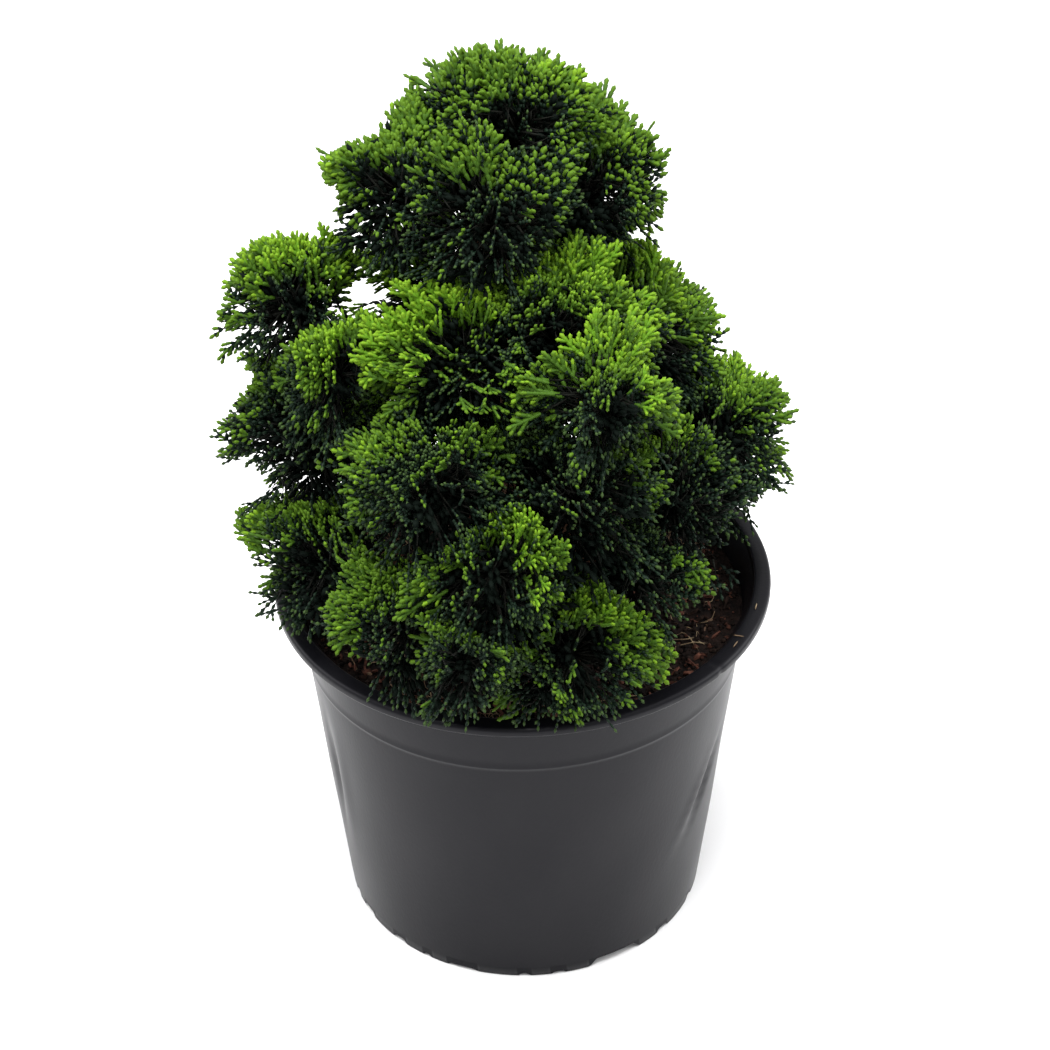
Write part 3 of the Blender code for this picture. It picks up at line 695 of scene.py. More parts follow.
trunk_verts = []
for row in range(TRUNK_ROWS + 1):
    share = row / TRUNK_ROWS
    height = TRUNK[0][2] + (TRUNK[-1][2] - TRUNK[0][2]) * share
    centre, radius = trunk_at(height)
    fade = max(0.0, 1.0 - (height - TRUNK[0][2]) / FLARE_HEIGHT)
    for side in range(TRUNK_SIDES):
        turn = 2.0 * math.pi * side / TRUNK_SIDES
        lobe = 1.0 + FLARE_DEPTH * fade * math.cos(FLARE_LOBES * turn + 0.6)
        reach = radius * lobe + BARK_RELIEF * bark_relief(turn, height, radius)
        trunk_verts.append((centre.x + reach * math.cos(turn), centre.y + reach * math.sin(turn), height))
bark = bark_material()
trunk_stem = joined("trunk_bark", trunk_verts, capped_faces(TRUNK_ROWS + 1, TRUNK_SIDES), bark)
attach(trunk_stem, "root")
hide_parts("trunk")


# ==================================================================== boughs
# One tapering limb goes from the trunk's side to the stem of each foliage mass,
# with the same thin bark.  It swells where it joins the trunk and sags a little.
BOUGH_SPANS = 4
SPOTS = 12
BOUGH_ROWS = 22
BOUGH_SIDES = 10
BOUGH_TIP = 0.0013
BOUGH_SWELL = 0.018
BOUGH_SAG = 0.07
BOUGH_RELIEF = 0.00028
BOUGH_PULL = 0.35
GAP = 0.0003
SEAT = 0.0004
FOLIAGE_FLOOR = 0.1492
SPRAY_CLEARANCE = 0.0010
STEM_SHARE = 0.86
STEM_FOOT = 0.0012
LIGHT_SIDE = (0.0, -0.78, 0.63)
REAR_FROM = 0.028
WALL_RANGE = 0.12
STEM_ON_TRUNK = ("crown_peak", "crown_right", "heart", "heart_back")
# foliage masses: name, centre, outer radius, height on the trunk where the bough
# leaves, tier of the plant, and how fresh its shoots are, with painted light and shade added
MASSES = (
    ("crown_peak", (-0.004, 0.012, 0.326), 0.0345, TRUNK[-1][2], "crown", 0.22),
    ("crown_left", (-0.042, -0.001, 0.312), 0.0312, 0.272, "crown", 0.30),
    ("crown_right", (0.026, 0.008, 0.306), 0.0310, 0.279, "crown", 0.27),
    ("crown_front", (-0.010, -0.023, 0.312), 0.0320, 0.276, "crown", 0.02),
    ("crown_back", (-0.003, 0.046, 0.302), 0.0350, 0.268, "crown", 0.12),
    ("upper_left", (-0.082, 0.000, 0.265), 0.0285, 0.222, "shoulder", 0.26),
    ("left_fan", (-0.066, -0.031, 0.256), 0.0220, 0.214, "shoulder", 0.58),
    ("left_side", (-0.079, -0.013, 0.218), 0.0330, 0.188, "shoulder", 0.28),
    ("dome_left", (-0.020, -0.041, 0.266), 0.0335, 0.234, "shoulder", 0.98),
    ("dome_right", (0.012, -0.033, 0.270), 0.0360, 0.242, "shoulder", 0.72),
    ("dome_fan", (0.029, -0.068, 0.266), 0.0230, 0.226, "shoulder", 0.44),
    ("right_upper", (0.040, 0.006, 0.2475), 0.0320, 0.226, "shoulder", 0.34),
    ("right_side", (0.0745, -0.004, 0.209), 0.0300, 0.184, "skirt", 0.34),
    ("left_low", (-0.073, -0.034, 0.175), 0.0310, 0.152, "skirt", 0.50),
    ("front_upper", (-0.031, -0.069, 0.232), 0.0325, 0.200, "skirt", 0.32),
    ("front_mid", (-0.010, -0.083, 0.206), 0.0310, 0.178, "skirt", 0.72),
    ("front_left", (-0.043, -0.076, 0.175), 0.0265, 0.157, "skirt", 0.28),
    ("front_right", (0.017, -0.081, 0.168), 0.0320, 0.150, "skirt", 0.66),
    ("front_edge", (-0.021, -0.100, 0.180), 0.0210, 0.164, "skirt", 0.34),
    ("right_mid", (0.055, -0.037, 0.203), 0.0325, 0.172, "skirt", -0.20),
    ("right_foot", (0.040, -0.059, 0.189), 0.0265, 0.162, "skirt", 0.36),
    ("centre_front", (0.019, -0.065, 0.225), 0.0310, 0.192, "skirt", 0.22),
    ("heart", (-0.006, -0.036, 0.222), 0.0270, 0.206, "skirt", -0.20),
    ("heart_back", (0.002, 0.040, 0.213), 0.0280, 0.200, "rear", -0.10),
    ("back_left_upper", (-0.029, 0.047, 0.247), 0.0350, 0.214, "rear", 0.18),
    ("back_upper", (0.008, 0.060, 0.245), 0.0365, 0.206, "rear", 0.32),
    ("back_right_upper", (0.041, 0.043, 0.225), 0.0335, 0.198, "rear", 0.20),
    ("back_left", (-0.066, 0.038, 0.192), 0.0400, 0.176, "rear", 0.22),
    ("back_low", (-0.002, 0.071, 0.189), 0.0415, 0.166, "rear", 0.20),
    ("back_right", (0.061, 0.046, 0.175), 0.0400, 0.154, "rear", 0.22),
)


class Mass:
    """One foliage mass and the flat walls of the space it keeps to."""

    def __init__(self, row):
        self.name, centre, self.radius, self.root, self.tier, self.fresh_and_lit = row
        self.here = Vector(centre)
        self.way = (self.here - trunk_at(self.root)[0]).normalized()
        self.light_side = Vector(LIGHT_SIDE)
        if self.here.y > REAR_FROM:
            self.light_side.y *= -1.0
        self.crest = Vector((0.0, -self.light_side.y * LIGHT_SIDE[2] / -LIGHT_SIDE[1], -LIGHT_SIDE[1]))
        self.sweep = (self.way + Vector((0.0, 0.0, 0.25))).normalized()
        if self.tier == "skirt":
            self.sweep = (self.way * 0.8 + self.crest * 0.6).normalized()
        if self.tier in ("crown", "shoulder"):
            self.sweep = (self.way * 0.5 + self.crest).normalized()
        self.walls = [(Vector((0.0, 0.0, -1.0)), self.here.z - FOLIAGE_FLOOR)]
        for other in MASSES:
            offset = Vector(other[1]) - self.here
            apart = offset.length
            if other[0] == self.name or apart > WALL_RANGE:
                continue
            share = (apart * apart + self.radius ** 2 - other[2] ** 2) / (2.0 * apart)
            self.walls.append((offset / apart, share - GAP * 0.5))

    def wall_reach(self, start, way, margin):
        """How far a line may run before it meets a wall of the mass."""
        reach = 1.0
        for normal, distance in self.walls:
            speed = way.dot(normal)
            room = distance - margin - (start - self.here).dot(normal)
            if room <= 0.0:
                return 0.0
            if speed > 0.000001:
                reach = min(reach, room / speed)
        return reach

    def stem_foot(self):
        """Where the mass's own stem begins."""
        if self.root >= TRUNK[-1][2]:
            return Vector(TRUNK[-1][:3]) + Vector((0.0, 0.0, SEAT))
        if self.name in STEM_ON_TRUNK:
            return seated(self.root, self.way, self.way, STEM_FOOT)
        room = self.wall_reach(self.here, -self.way, STEM_FOOT + 0.0004)
        return self.here - self.way * min(STEM_SHARE * self.radius, room * 0.96)


def seated(height, side, heading, radius):
    """Point where a limb's cut end sits just clear of the side of the trunk."""
    centre, _ = trunk_at(height)
    across = heading.orthogonal().normalized()
    over = heading.cross(across)
    reach = 0.0
    while True:
        start = centre + side * reach
        room = 1.0
        for index in range(12):
            turn = 2.0 * math.pi * index / 12
            edge = start + (across * math.cos(turn) + over * math.sin(turn)) * radius
            middle, girth = trunk_at(edge.z)
            room = min(room, (edge - middle).to_2d().length - girth)
        if room >= SEAT:
            return start
        reach += 0.00005


def bough_line(mass, spans):
    """Points and radii of the limb from the trunk's side to the mass's stem."""
    tip = mass.stem_foot() - mass.way * SEAT
    run = tip - trunk_at(mass.root)[0]
    radius = BOUGH_TIP + BOUGH_SWELL * run.length
    sag = Vector((0.0, 0.0, -BOUGH_SAG * run.length))
    heading = (run * 0.5 + sag).lerp(run - mass.way * run.length * 0.5, BOUGH_PULL).normalized()
    start = seated(mass.root, run.normalized(), heading, radius)
    run = tip - start
    bend = start + (run * 0.5 + sag).lerp(run - mass.way * run.length * 0.5, BOUGH_PULL)
    line = []
    for index in range(spans + 1):
        share = index / spans
        point = start.lerp(bend, share).lerp(bend.lerp(tip, share), share)
        line.append((point, radius + (BOUGH_TIP - radius) * share))
    return line


def limb_skin(line, sides, relief, phase):
    """Tapering limb with rough bark: (points, faces)."""
    verts = []
    across = (line[1][0] - line[0][0]).orthogonal().normalized()
    for index, (point, radius) in enumerate(line):
        low, high = line[max(0, index - 1)][0], line[min(len(line) - 1, index + 1)][0]
        way = (high - low).normalized()
        across = (across - way * across.dot(way)).normalized()
        over = way.cross(across)
        for side in range(sides):
            turn = 2.0 * math.pi * side / sides
            cos, sin = math.cos(turn), math.sin(turn)
            rough = relief * noise.noise(Vector((cos * 1.8 + phase, sin * 1.8, index * 0.45)))
            verts.append(point + (across * cos + over * sin) * (radius + rough))
    return verts, capped_faces(len(line), sides)


masses = [Mass(row) for row in MASSES]
limbs, limb_spots = [], []
for low, high in zip(TRUNK, TRUNK[1:]):
    for index in range(SPOTS):
        share = index / SPOTS
        centre = Vector(low[:3]).lerp(Vector(high[:3]), share)
        limb_spots.append((*centre, low[3] + (high[3] - low[3]) * share))
for number, mass in enumerate(masses):
    if mass.name in STEM_ON_TRUNK:
        continue
    limbs.append(limb_skin(bough_line(mass, BOUGH_ROWS), BOUGH_SIDES, BOUGH_RELIEF, number * 3.7))
    limb_spots += [(*point, radius) for point, radius in bough_line(mass, BOUGH_SPANS * SPOTS)]
limb_spots = np.array(limb_spots)
limb_verts, limb_faces = gather(limbs)
boughs = joined("boughs_bark", limb_verts, limb_faces, bark)
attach(boughs, "root")
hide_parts(*["bough_" + mass.name for mass in masses if mass.name not in STEM_ON_TRUNK])


# ==================================================================== foliage
# Flat fans of live scale-leaved shoots, grown on thin twigs from the heart of
# each mass: rows of overlapping scale pairs that fork and end in a blunt fresh
# tip.  Their colours hold painted light and shade: lime where a shoot faces the
# light, darker copies as it turns away, and painted shade down to nearly black
# deep under the skin and in creases.
SEED = 4127
# columns of a scale pair's row, after its place, its way and its flat side
SIZE, GIRTH, PARENT, SHOOT, SPRAY = 9, 10, 11, 12, 13
FANS = 6
FAN_CONE = math.radians(115.0)
FILL_CONE = math.radians(142.0)
FAN_HALF_ANGLE = math.radians(46.0)
FAN_ROLL = 0.75
FAN_LIFT = 0.18
FAN_WARMTH = 0.20
FAN_STRETCH = (0.82, 1.14)
TEETH = 5
HUB_SHARE = 0.10
REACH_STEP = 0.0012
LIMB_CLEARANCE = 0.0013
GOLDEN_TURN = math.pi * (3.0 - math.sqrt(5.0))
SCALE_STEP = 0.00220
SCALE_LENGTH = 0.00285
SCALE_HALF_WIDTH = 0.00088
SCALE_HALF_THICK = 0.00060
TIP_LENGTH = 0.00250
LEAFY = 0.0125
LAYER_TURN = math.radians(9.0)
LAYER_STEP = 0.0012
LAYER_SHADE = 0.10
MORE_FANS = 4
MORE_REACH = 0.86
# side shoots of a spray: where on the rib they start, and their angle to it
LIT_SIDES = ((0.36, 38.0), (0.52, 36.0), (0.68, 34.0))
DIM_SIDES = ((0.45, 34.0), (0.66, 33.0))
# how much painted light a shoot gets by the way it points: gain, share of its sideways part, what comes off
LIT_SPAN = 0.8
LIT_ASIDE = 0.30
LIT_LESS = 0.5
LIT_FROM = 0.02
LIT_BLEND = 0.72
DIM_BLEND = 0.20
# shaded sprays are thinner and shorter by these
DIM_GIRTH = 0.86
DIM_LENGTH = 0.88
# chance that a scale pair carries no side shoot, and how far that one leans out
LIT_BARE = 0.10
DIM_BARE = 0.50
FORK_ALONG = 0.81
FORK_ACROSS = 0.59
FORK_BEND = 0.06
SHORTEST_RUN = 0.005
TWIG_INSET = 0.0020
TWIG_RADIUS = 0.00060
FILL_SPRAYS = 42
MIDDLE_RADIUS = 0.031
BLEND = 0.0085
LOBE_DEPTH = 0.0095
LOBE_SIZE = 0.0052
LOBE_WAVES = 7
LOBE_SPREAD = 2.4
DENT_SHIFT = 0.10
DENT_RANGE = (-0.25, 1.0)
WALL_OVERLAP = 0.0045
OUTER_SPARE = 0.0034
FLOOR_SPARE = 0.0004
WALL_SPARE = 0.003
LIMB_SPARE = 0.0007
SWEEPS = {"crown": 0.46, "shoulder": 0.50, "skirt": 0.40, "rear": 0.30}
BARE_SHARE = 0.30
DEEPEST = 0.0150
INNER_SPRAYS = 50
INNER_DEPTH = 0.0050
INNER_SIZE = 2.1
INNER_GIRTHS = (1.7, 1.6)
OLD_SIZE = 1.5
BEAD_LENGTH = 0.0033
SHADED_SLIM = 0.86
# how the painted light falls off into painted shade under the skin and in
# creases, and where each lit or shaded copy of the colour begins
SKIN_FADE = 0.022
CREASE_FADE = 0.030
LIGHT_SHIFT = 0.18
DARK_SHARE = 0.5
CROWN_SHARE = 0.6
CROWN_SHIFT = 0.09
TIP_STEPS = (0.55, 0.0)
SHOOT_STEPS = (0.66, 0.14)
DEEP_LIGHT = -0.55
TIERS = ("crown", "shoulder", "skirt", "rear")
# lit, half-lit and shaded copies of each leaf colour: painted light and shade
TIP_COLOURS = {
    "lime": (0.140, 0.264, 0.014),
    "green": (0.076, 0.152, 0.011),
    "dull": (0.037, 0.068, 0.019),
}
SHOOT_COLOURS = {
    "lime": (0.086, 0.194, 0.009),
    "green": (0.043, 0.098, 0.0088),
    "dull": (0.0078, 0.0174, 0.0098),
}
# the old inner shoots and the most deeply shaded shoots: their dark green painted down to nearly black,
# painted shade
INNER_SHADE_COLOUR = (0.0030, 0.0056, 0.0040)
# the twigs inside the foliage: their own colour darkened to nearly black green, painted shade
TWIG_SHADE_COLOUR = (0.0050, 0.0056, 0.0036)
# roughness and specular level
TIP_FINISH = (0.52, 0.09)
SHOOT_FINISH = (0.52, 0.10)
INNER_FINISH = (0.75, 0.05)
TWIG_FINISH = (0.75, 0.15)


def near_limbs(mass):
    """Places and radii along the limbs that pass close to a mass."""
    apart = np.linalg.norm(limb_spots[:, :3] - np.array(mass.here), axis=1)
    return limb_spots[apart < mass.radius + limb_spots[:, 3] + 0.004]


ball_spots = np.array([mass.here for mass in masses])
ball_radii = np.array([mass.radius for mass in masses])
ball_in_crown = np.array([mass.tier == "crown" for mass in masses])
lobe_rule = np.random.default_rng(SEED)
lobe_ways = lobe_rule.normal(size=(LOBE_WAVES, 3))
lobe_ways /= np.linalg.norm(lobe_ways, axis=1)[:, None] * LOBE_SIZE
lobe_phases = lobe_rule.uniform(0.0, 2.0 * math.pi, LOBE_WAVES)


def crown_skin(points):
    """Signed distance to the crown's lobed skin, and how deep in a crease or dent each point is."""
    points = np.atleast_2d(points)
    apart = np.linalg.norm(points[:, None, :] - ball_spots[None, :, :], axis=2) - ball_radii
    skins, fills = [], []
    for group in (ball_in_crown, ~ball_in_crown):
        nearest = apart[:, group].min(axis=1)
        fills.append(BLEND * np.log(np.exp((nearest[:, None] - apart[:, group]) / BLEND).sum(axis=1)))
        skins.append(nearest - fills[-1])
    waves = np.sin(points @ lobe_ways.T + lobe_phases).sum(axis=1) / LOBE_SPREAD
    dent = LOBE_DEPTH * np.clip(DENT_SHIFT + waves, *DENT_RANGE)
    return np.minimum(*skins) + dent, np.where(skins[0] < skins[1], *fills) + dent


def spray_reach(start, way, mass, near):
    """How far a shoot may run: to the crown's skin, its walls or the first limb near it."""
    reach = min(mass.wall_reach(start, way, -WALL_OVERLAP), 2.0 * mass.radius)
    if way.z < 0.0:
        reach = min(reach, (start.z - FOLIAGE_FLOOR) / -way.z)
    if reach <= 0.004:
        return reach
    steps = np.arange(0.003, reach, REACH_STEP)
    path = np.array(start) + np.outer(steps, np.array(way))
    hit = crown_skin(path)[0] > 0.0
    if len(near):
        apart = np.linalg.norm(path[:, None, :] - near[None, :, :3], axis=2)
        hit |= (apart < near[None, :, 3] + LIMB_CLEARANCE).any(axis=1)
    hit = np.nonzero(hit)[0]
    if len(hit):
        return max(0.0, steps[hit[0]] - REACH_STEP)
    return reach


def cone_frames(rule, way, count, cone):
    """Axis, flat normal and vigour of fans spread over a cone, by the seeded rule."""
    side = way.orthogonal().normalized()
    over = way.cross(side)
    start = rule.uniform(0.0, 2.0 * math.pi)
    frames = []
    for index in range(count):
        share = (index + 0.5) / count
        tilt = math.acos(1.0 - share * (1.0 - math.cos(cone)))
        turn = start + index * GOLDEN_TURN + rule.uniform(-0.25, 0.25)
        axis = way * math.cos(tilt) + (side * math.cos(turn) + over * math.sin(turn)) * math.sin(tilt)
        axis = (axis + Vector((0.0, 0.0, FAN_LIFT))).normalized()
        flat = axis.cross(Vector((0.0, 0.0, 1.0)))
        if flat.length < 0.05:
            flat = axis.cross(side)
        flat.normalize()
        flat = Matrix.Rotation(rule.uniform(-FAN_ROLL, FAN_ROLL), 3, axis) @ flat
        frames.append((axis, flat, rule.uniform(0.94, 1.0)))
    return frames


class Growth:
    """Everything grown so far: scale pairs, twigs, and the painted light of each spray."""

    def __init__(self):
        self.scales = []
        self.twigs = []
        self.shoots = 0
        self.painted_lights = []

    def shoot(self, foot, way, flat, count, parent, curl, size, girth):
        """A row of overlapping scale pairs; returns the place of each."""
        placed = []
        here = foot
        for index in range(count):
            self.scales.append((*here, *way, *flat, size, girth, parent, self.shoots, len(self.painted_lights)))
            parent = len(self.scales) - 1
            placed.append((here, way, parent))
            here = here + way * (SCALE_STEP * size)
            way = (way + curl).normalized()
        self.shoots += 1
        return placed

    def spray(self, start, lead, face, mass, near, rule, vigour, lit):
        """A flat spray: a rib with alternate side shoots, leafy and forked near their ends."""
        across = lead.cross(face)
        size = rule.uniform(0.92, 1.08) * (1.14 if mass.tier == "crown" or not lit else 1.0)
        girth = size * (1.0 if lit else DIM_GIRTH)
        rough = 0.05 if lit else 0.12
        reach = spray_reach(start, lead, mass, near)
        ribs = [(start, lead)]
        hand = rule.choice((-1.0, 1.0))
        for share, angle in LIT_SIDES if lit else DIM_SIDES:
            hand = -hand
            turn = math.radians(angle + rule.uniform(-5.0, 5.0))
            way = lead * math.cos(turn) + across * (hand * math.sin(turn)) + face * rule.uniform(-0.08, 0.08)
            ribs.append((start + lead * (share * reach * vigour), way.normalized()))
        for spot, way in ribs:
            knee = spot + way * (BARE_SHARE * spray_reach(spot, way, mass, near))
            way = way.lerp(mass.sweep, SWEEPS[mass.tier] * max(0.15, way.dot(mass.sweep))).normalized()
            run = spray_reach(knee, way, mass, near) * vigour * rule.uniform(0.84, 1.0)
            if run < SHORTEST_RUN or crown_skin(knee + way * run)[0][0] < -DEEPEST:
                continue
            leafy = min(run * 0.95, LEAFY * rule.uniform(0.85, 1.15) * (1.0 if lit else DIM_LENGTH))
            count = max(2, round(leafy / (SCALE_STEP * size)))
            base = knee + way * (run - leafy)
            self.twigs.append((spot, base + way * TWIG_INSET, TWIG_RADIUS))
            skin = (face - way * face.dot(way)).normalized()
            turn = way.cross(skin)
            curl = skin * rule.uniform(-0.025, 0.025) + turn * rule.uniform(-0.02, 0.02)
            shoot = self.shoot(base, way, skin, count, -1, curl, size, girth)
            fork = rule.choice((-1.0, 1.0))
            for place_on, (here, heading, owner) in enumerate(shoot[1:-1]):
                fork = -fork
                if rule.random() < (LIT_BARE if lit else DIM_BARE):
                    continue
                twist = heading * FORK_ALONG + turn * (FORK_ACROSS * fork)
                twist = (twist + skin * rule.uniform(-rough, rough)).normalized()
                side = (skin - twist * skin.dot(twist)).normalized()
                more = max(1, min(3, round((count - place_on) * 0.5 + rule.uniform(-0.4, 0.4))))
                bend = (heading - twist) * FORK_BEND
                joint = here + heading * 0.0006
                self.shoot(joint, twist, side, more, owner, bend, size * 0.96, girth * 0.94)

    def inner_spray(self, tip, way, flat, rule):
        """Old coarse shoots deep inside, which close the mass from behind in nearly black painted shade."""
        flat = (flat - way * flat.dot(way)).normalized()
        across = way.cross(flat)
        foot = tip - way * (SCALE_STEP * INNER_SIZE * 3.0)
        curl = across * rule.uniform(-0.05, 0.05)
        rib = self.shoot(foot, way, flat, 3, -1, curl, INNER_SIZE, INNER_GIRTHS[0])
        for hand in (-1.0, 1.0):
            for spot, heading, parent in rib[:2]:
                branch = heading * 0.72 + across * (0.66 * hand) + flat * rule.uniform(-0.4, 0.4)
                branch.normalize()
                face = (flat - branch * flat.dot(branch)).normalized()
                self.shoot(spot, branch, face, 2, parent, across * 0.0, INNER_SIZE, INNER_GIRTHS[1])
        self.painted_lights.append(0.0)


def grow_mass(growth, mass, number):
    """Grow one mass by the seeded rule: its stem, its fans, its filling and its old inside."""
    near = near_limbs(mass)
    room = mass.wall_reach(mass.here, -mass.way, SPRAY_CLEARANCE)
    heart = mass.here - mass.way * min(HUB_SHARE * mass.radius, room * 0.60)
    growth.twigs.append((mass.stem_foot(), heart, STEM_FOOT))
    finer = random.Random(SEED * 7 + number)

    def score(way):
        """How much painted light the shoots get that point one way."""
        return mass.fresh_and_lit + LIT_SPAN * (way.dot(mass.crest) + LIT_ASIDE * abs(way.x) - LIT_LESS)

    for seed, fans, share in ((SEED + number, FANS, 1.0), (SEED * 3 + number, MORE_FANS, MORE_REACH)):
        for axis, flat, vigour in cone_frames(random.Random(seed), mass.way, fans, FAN_CONE):
            side = mass.light_side - axis * mass.light_side.dot(axis)
            flat = flat * (1.0 if flat.dot(side) > 0.0 else -1.0)
            warm = finer.gauss(0.0, FAN_WARMTH)
            stretch = finer.uniform(*FAN_STRETCH)
            fan_lit = score(axis) + warm > LIT_FROM
            flat = flat.lerp(side, LIT_BLEND if fan_lit else DIM_BLEND)
            flat = (flat - axis * flat.dot(axis)).normalized()
            for tooth in range(TEETH):
                angle = FAN_HALF_ANGLE * (2.0 * tooth / (TEETH - 1) - 1.0) + finer.uniform(-0.08, 0.08)
                spine = Matrix.Rotation(angle, 3, flat) @ axis
                light = score(spine) + warm
                lit = light > LIT_FROM
                plane = Matrix.Rotation(finer.gauss(0.0, 0.14 if lit else 0.5), 3, spine) @ flat
                full = vigour * share * stretch * finer.uniform(0.84, 1.0)
                layers = 3 if light > 0.5 else 2 if lit else 1
                for layer in range(layers):
                    shift = layer - (layers - 1) / 2 + finer.uniform(-0.2, 0.2)
                    tilt = shift * LAYER_TURN
                    lead = spine * math.cos(tilt) + plane * math.sin(tilt)
                    face = plane * math.cos(tilt) - spine * math.sin(tilt)
                    start = heart + plane * (shift * LAYER_STEP)
                    growth.spray(start, lead, face, mass, near, finer, full, lit)
                    growth.painted_lights.append(light + finer.gauss(0.0, 0.08) + LAYER_SHADE * shift)
    bulk = (mass.radius / MIDDLE_RADIUS) ** 2
    fill = round(FILL_SPRAYS * bulk)
    for axis, flat, vigour in cone_frames(random.Random(SEED * 5 + number), mass.way, fill, FILL_CONE):
        growth.spray(heart, axis, flat, mass, near, finer, vigour * finer.uniform(0.80, 0.96), False)
        growth.painted_lights.append(score(axis) + finer.gauss(0.0, 0.10))
    for index in range(round(INNER_SPRAYS * bulk)):
        out = Vector([finer.gauss(0.0, 1.0) for _ in range(3)]).normalized()
        tip = mass.here + out * (mass.radius * finer.uniform(0.35, 0.98))
        stray = Vector([finer.uniform(-0.5, 0.5) for _ in range(3)])
        way = (out * 0.7 + mass.way * 0.5 + stray).normalized()
        growth.inner_spray(tip, way, way.orthogonal(), finer)


def prune(mass, scales):
    """Keep the scale pairs inside the mass's space and clear of limbs, and all that hang on them."""
    end = scales[:, 0:3] + scales[:, 3:6] * (TIP_LENGTH * scales[:, SIZE, None])
    centre = np.array(mass.here)
    keep = crown_skin(end)[0] <= np.where(scales[:, SIZE] > OLD_SIZE, -INNER_DEPTH, OUTER_SPARE)
    for index, (normal, distance) in enumerate(mass.walls):
        spare = -FLOOR_SPARE if index == 0 else WALL_OVERLAP + WALL_SPARE
        keep &= (end - centre) @ np.array(normal) <= distance + spare
    near = near_limbs(mass)
    if len(near):
        apart = np.linalg.norm(end[:, None, :] - near[None, :, :3], axis=2)
        keep &= ~(apart < near[None, :, 3] + LIMB_SPARE).any(axis=1)
    parents = scales[:, PARENT].astype(int)
    for index in range(len(scales)):
        if keep[index] and parents[index] >= 0 and not keep[parents[index]]:
            keep[index] = False
    ends = keep.copy()
    numbers = scales[:, SHOOT].astype(int)
    follow = (numbers[1:] == numbers[:-1]) & keep[1:] & keep[:-1]
    ends[:-1][follow] = False
    return keep, ends


def array_mesh(name, verts, pattern, copies, material):
    """One mesh of many copies of a small pattern of triangles, straight from arrays."""
    faces = pattern[None, :, :] + (np.arange(copies) * (len(verts) // copies))[:, None, None]
    faces = faces.reshape(-1, 3)
    mesh = bpy.data.meshes.new(name)
    mesh.vertices.add(len(verts))
    mesh.vertices.foreach_set("co", verts.astype(np.float32).ravel())
    mesh.loops.add(faces.size)
    mesh.loops.foreach_set("vertex_index", faces.astype(np.int32).ravel())
    mesh.polygons.add(len(faces))
    mesh.polygons.foreach_set("loop_start", np.arange(0, faces.size, 3, dtype=np.int32))
    mesh.update(calc_edges=True)
    mesh.validate()
    mesh.shade_smooth()
    mesh.materials.append(material)
    return place(name, mesh)


def scale_mesh(name, scales, tips, fine, slim, material):
    """Joined scale pairs: those with painted light are open at the hidden foot, and those with painted shade
    and the old inner ones are plain beads.
    """
    base, way, flat = scales[:, 0:3], scales[:, 3:6], scales[:, 6:9]
    size, girth = scales[:, SIZE, None], scales[:, GIRTH, None]
    side = np.cross(way, flat)
    if fine:
        long = (TIP_LENGTH if tips else SCALE_LENGTH) * size
        rings = ((0.0, 0.66), (0.62 if tips else 0.80, 1.0))
        corners, first = [], 0
    else:
        long = (TIP_LENGTH if tips else BEAD_LENGTH) * size
        rings = ((0.62, 1.0),)
        corners, first = [base], 1
    wide, thick = SCALE_HALF_WIDTH * slim * girth, SCALE_HALF_THICK * girth
    for share, full in rings:
        middle = base + way * (long * share)
        corners += [middle + side * wide * full, middle + flat * thick * full]
        corners += [middle - side * wide * full, middle - flat * thick * full]
    corners.append(base + way * long)
    count = len(corners)
    verts = np.stack(corners, axis=1).reshape(-1, 3)
    pattern = []
    for index in range(4):
        here, after = first + index, first + (index + 1) % 4
        if first == 0:
            pattern += [(here, here + 4, after + 4), (here, after + 4, after)]
            pattern.append((here + 4, count - 1, after + 4))
        else:
            pattern += [(0, here, after), (here, count - 1, after)]
    return array_mesh(name, verts, np.array(pattern), len(scales), material)


def twig_mesh(name, twigs, material):
    """Joined three-sided twigs that taper away inside their own shoots."""
    start, end = np.array([twig[0] for twig in twigs]), np.array([twig[1] for twig in twigs])
    thick = np.array([[twig[2]] for twig in twigs])
    way = end - start
    way /= np.linalg.norm(way, axis=1, keepdims=True)
    side = np.cross(way, np.where(np.abs(way[:, 2:]) > 0.9, (1.0, 0.0, 0.0), (0.0, 0.0, 1.0)))
    side /= np.linalg.norm(side, axis=1, keepdims=True)
    over = np.cross(way, side)
    corners = []
    for index in range(3):
        turn = 2.0 * math.pi * index / 3
        corners.append(start + (side * math.cos(turn) + over * math.sin(turn)) * thick)
    verts = np.stack((*corners, end), axis=1).reshape(-1, 3)
    pattern = np.array(((0, 1, 3), (1, 2, 3), (2, 0, 3), (2, 1, 0)))
    return array_mesh(name, verts, pattern, len(twigs), material)


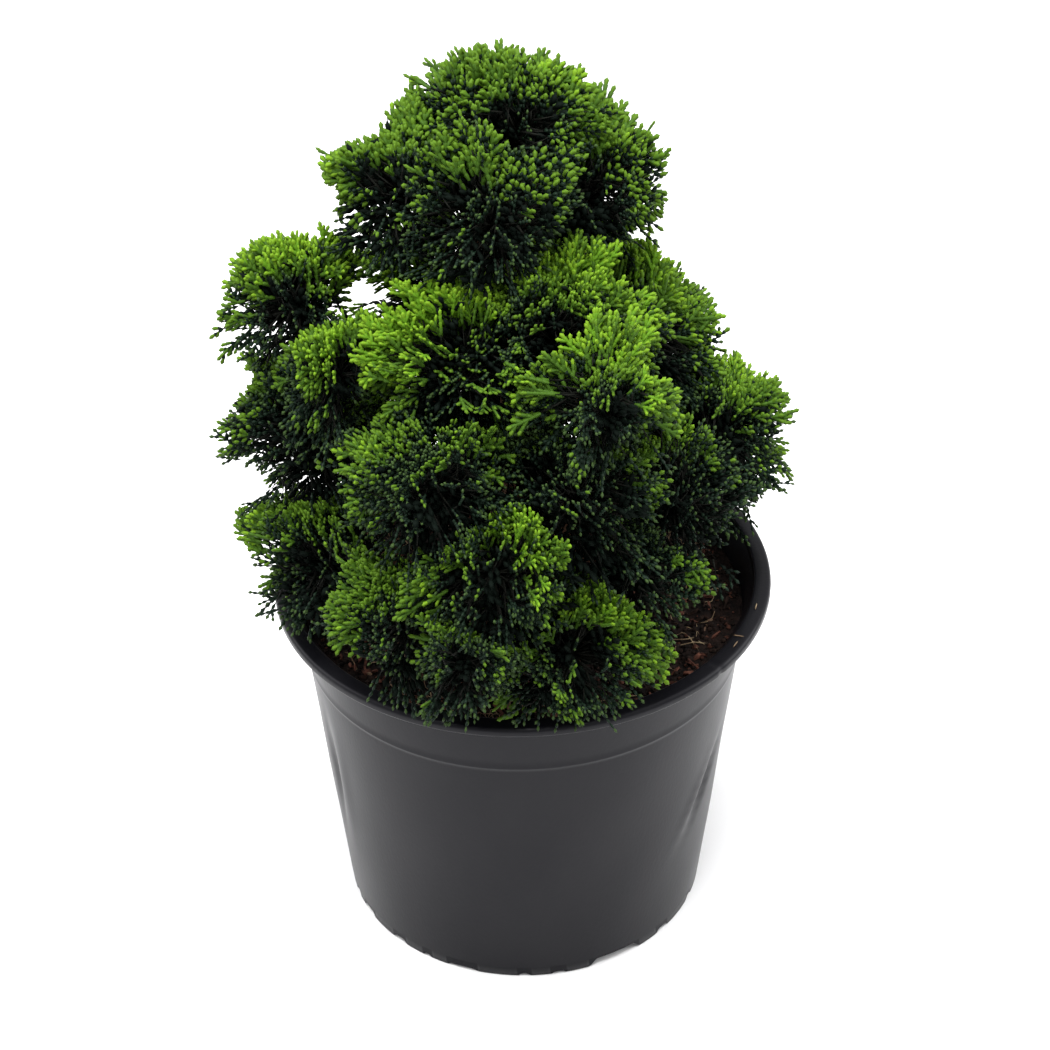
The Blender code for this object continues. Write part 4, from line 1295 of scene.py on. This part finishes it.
materials = {("shoots", "inner"): plain_material("shoots_inner", INNER_SHADE_COLOUR, *INNER_FINISH)[0]}
for part, colours, finish in (("tips", TIP_COLOURS, TIP_FINISH), ("shoots", SHOOT_COLOURS, SHOOT_FINISH)):
    for kind, colour in colours.items():
        materials[(part, kind)] = plain_material("%s_%s" % (part, kind), colour, *finish)[0]
twig_material = plain_material("twig_skin_shaded", TWIG_SHADE_COLOUR, *TWIG_FINISH)[0]
for tier in TIERS:
    heap = {("tips", kind): [] for kind in TIP_COLOURS}
    heap.update({("shoots", kind): [] for kind in (*SHOOT_COLOURS, "inner")})
    twigs = []
    for number, mass in enumerate(masses):
        if mass.tier != tier:
            continue
        growth = Growth()
        grow_mass(growth, mass, number)
        scales = np.array(growth.scales)
        keep, ends = prune(mass, scales)
        # painted light and shade: a spray's facing lights it, and depth under the skin and in creases paints
        # it darker
        painted_light = np.array(growth.painted_lights)
        skin, fill = crown_skin(scales[:, 0:3])
        light = painted_light[scales[:, SPRAY].astype(int)] + skin / SKIN_FADE - fill / CREASE_FADE + LIGHT_SHIFT
        light = np.where(light < 0.0, DARK_SHARE * light, light)
        if tier == "crown":
            light = CROWN_SHARE * light + CROWN_SHIFT
        inner = scales[:, SIZE] > OLD_SIZE
        heap[("shoots", "inner")].append(scales[keep & inner])
        for part, chosen, steps in (("tips", ends, TIP_STEPS), ("shoots", ~ends, SHOOT_STEPS)):
            chosen = chosen & keep & ~inner
            heap[(part, "lime")].append(scales[chosen & (light >= steps[0])])
            heap[(part, "green")].append(scales[chosen & (light < steps[0]) & (light >= steps[1])])
            chosen &= light < steps[1]
            heap[(part, "dull")].append(scales[chosen & (light >= DEEP_LIGHT)])
            # the most deeply shaded tips and shoots are painted darker still: painted shade
            under = "dull" if part == "tips" else "inner"
            heap[("shoots", under)].append(scales[chosen & (light < DEEP_LIGHT)])
        twigs += growth.twigs
    nodes = [mass.name for mass in masses if mass.tier == tier]
    made = []
    for (part, kind), sets in heap.items():
        scales = np.concatenate(sets)
        if not len(scales):
            continue
        look = (part == "tips", kind in ("lime", "green"), SHADED_SLIM if kind == "dull" else 1.0)
        made.append(scale_mesh("%s_%s_%s" % (tier, part, kind), scales, *look, materials[(part, kind)]))
    made.append(twig_mesh("%s_twigs" % tier, twigs, twig_material))
    for piece in made:
        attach(piece, "root")
        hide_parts(*nodes)


# ==================================================================== sizes
# The corners of the box round the dressed plant are found, in metres.
low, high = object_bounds()
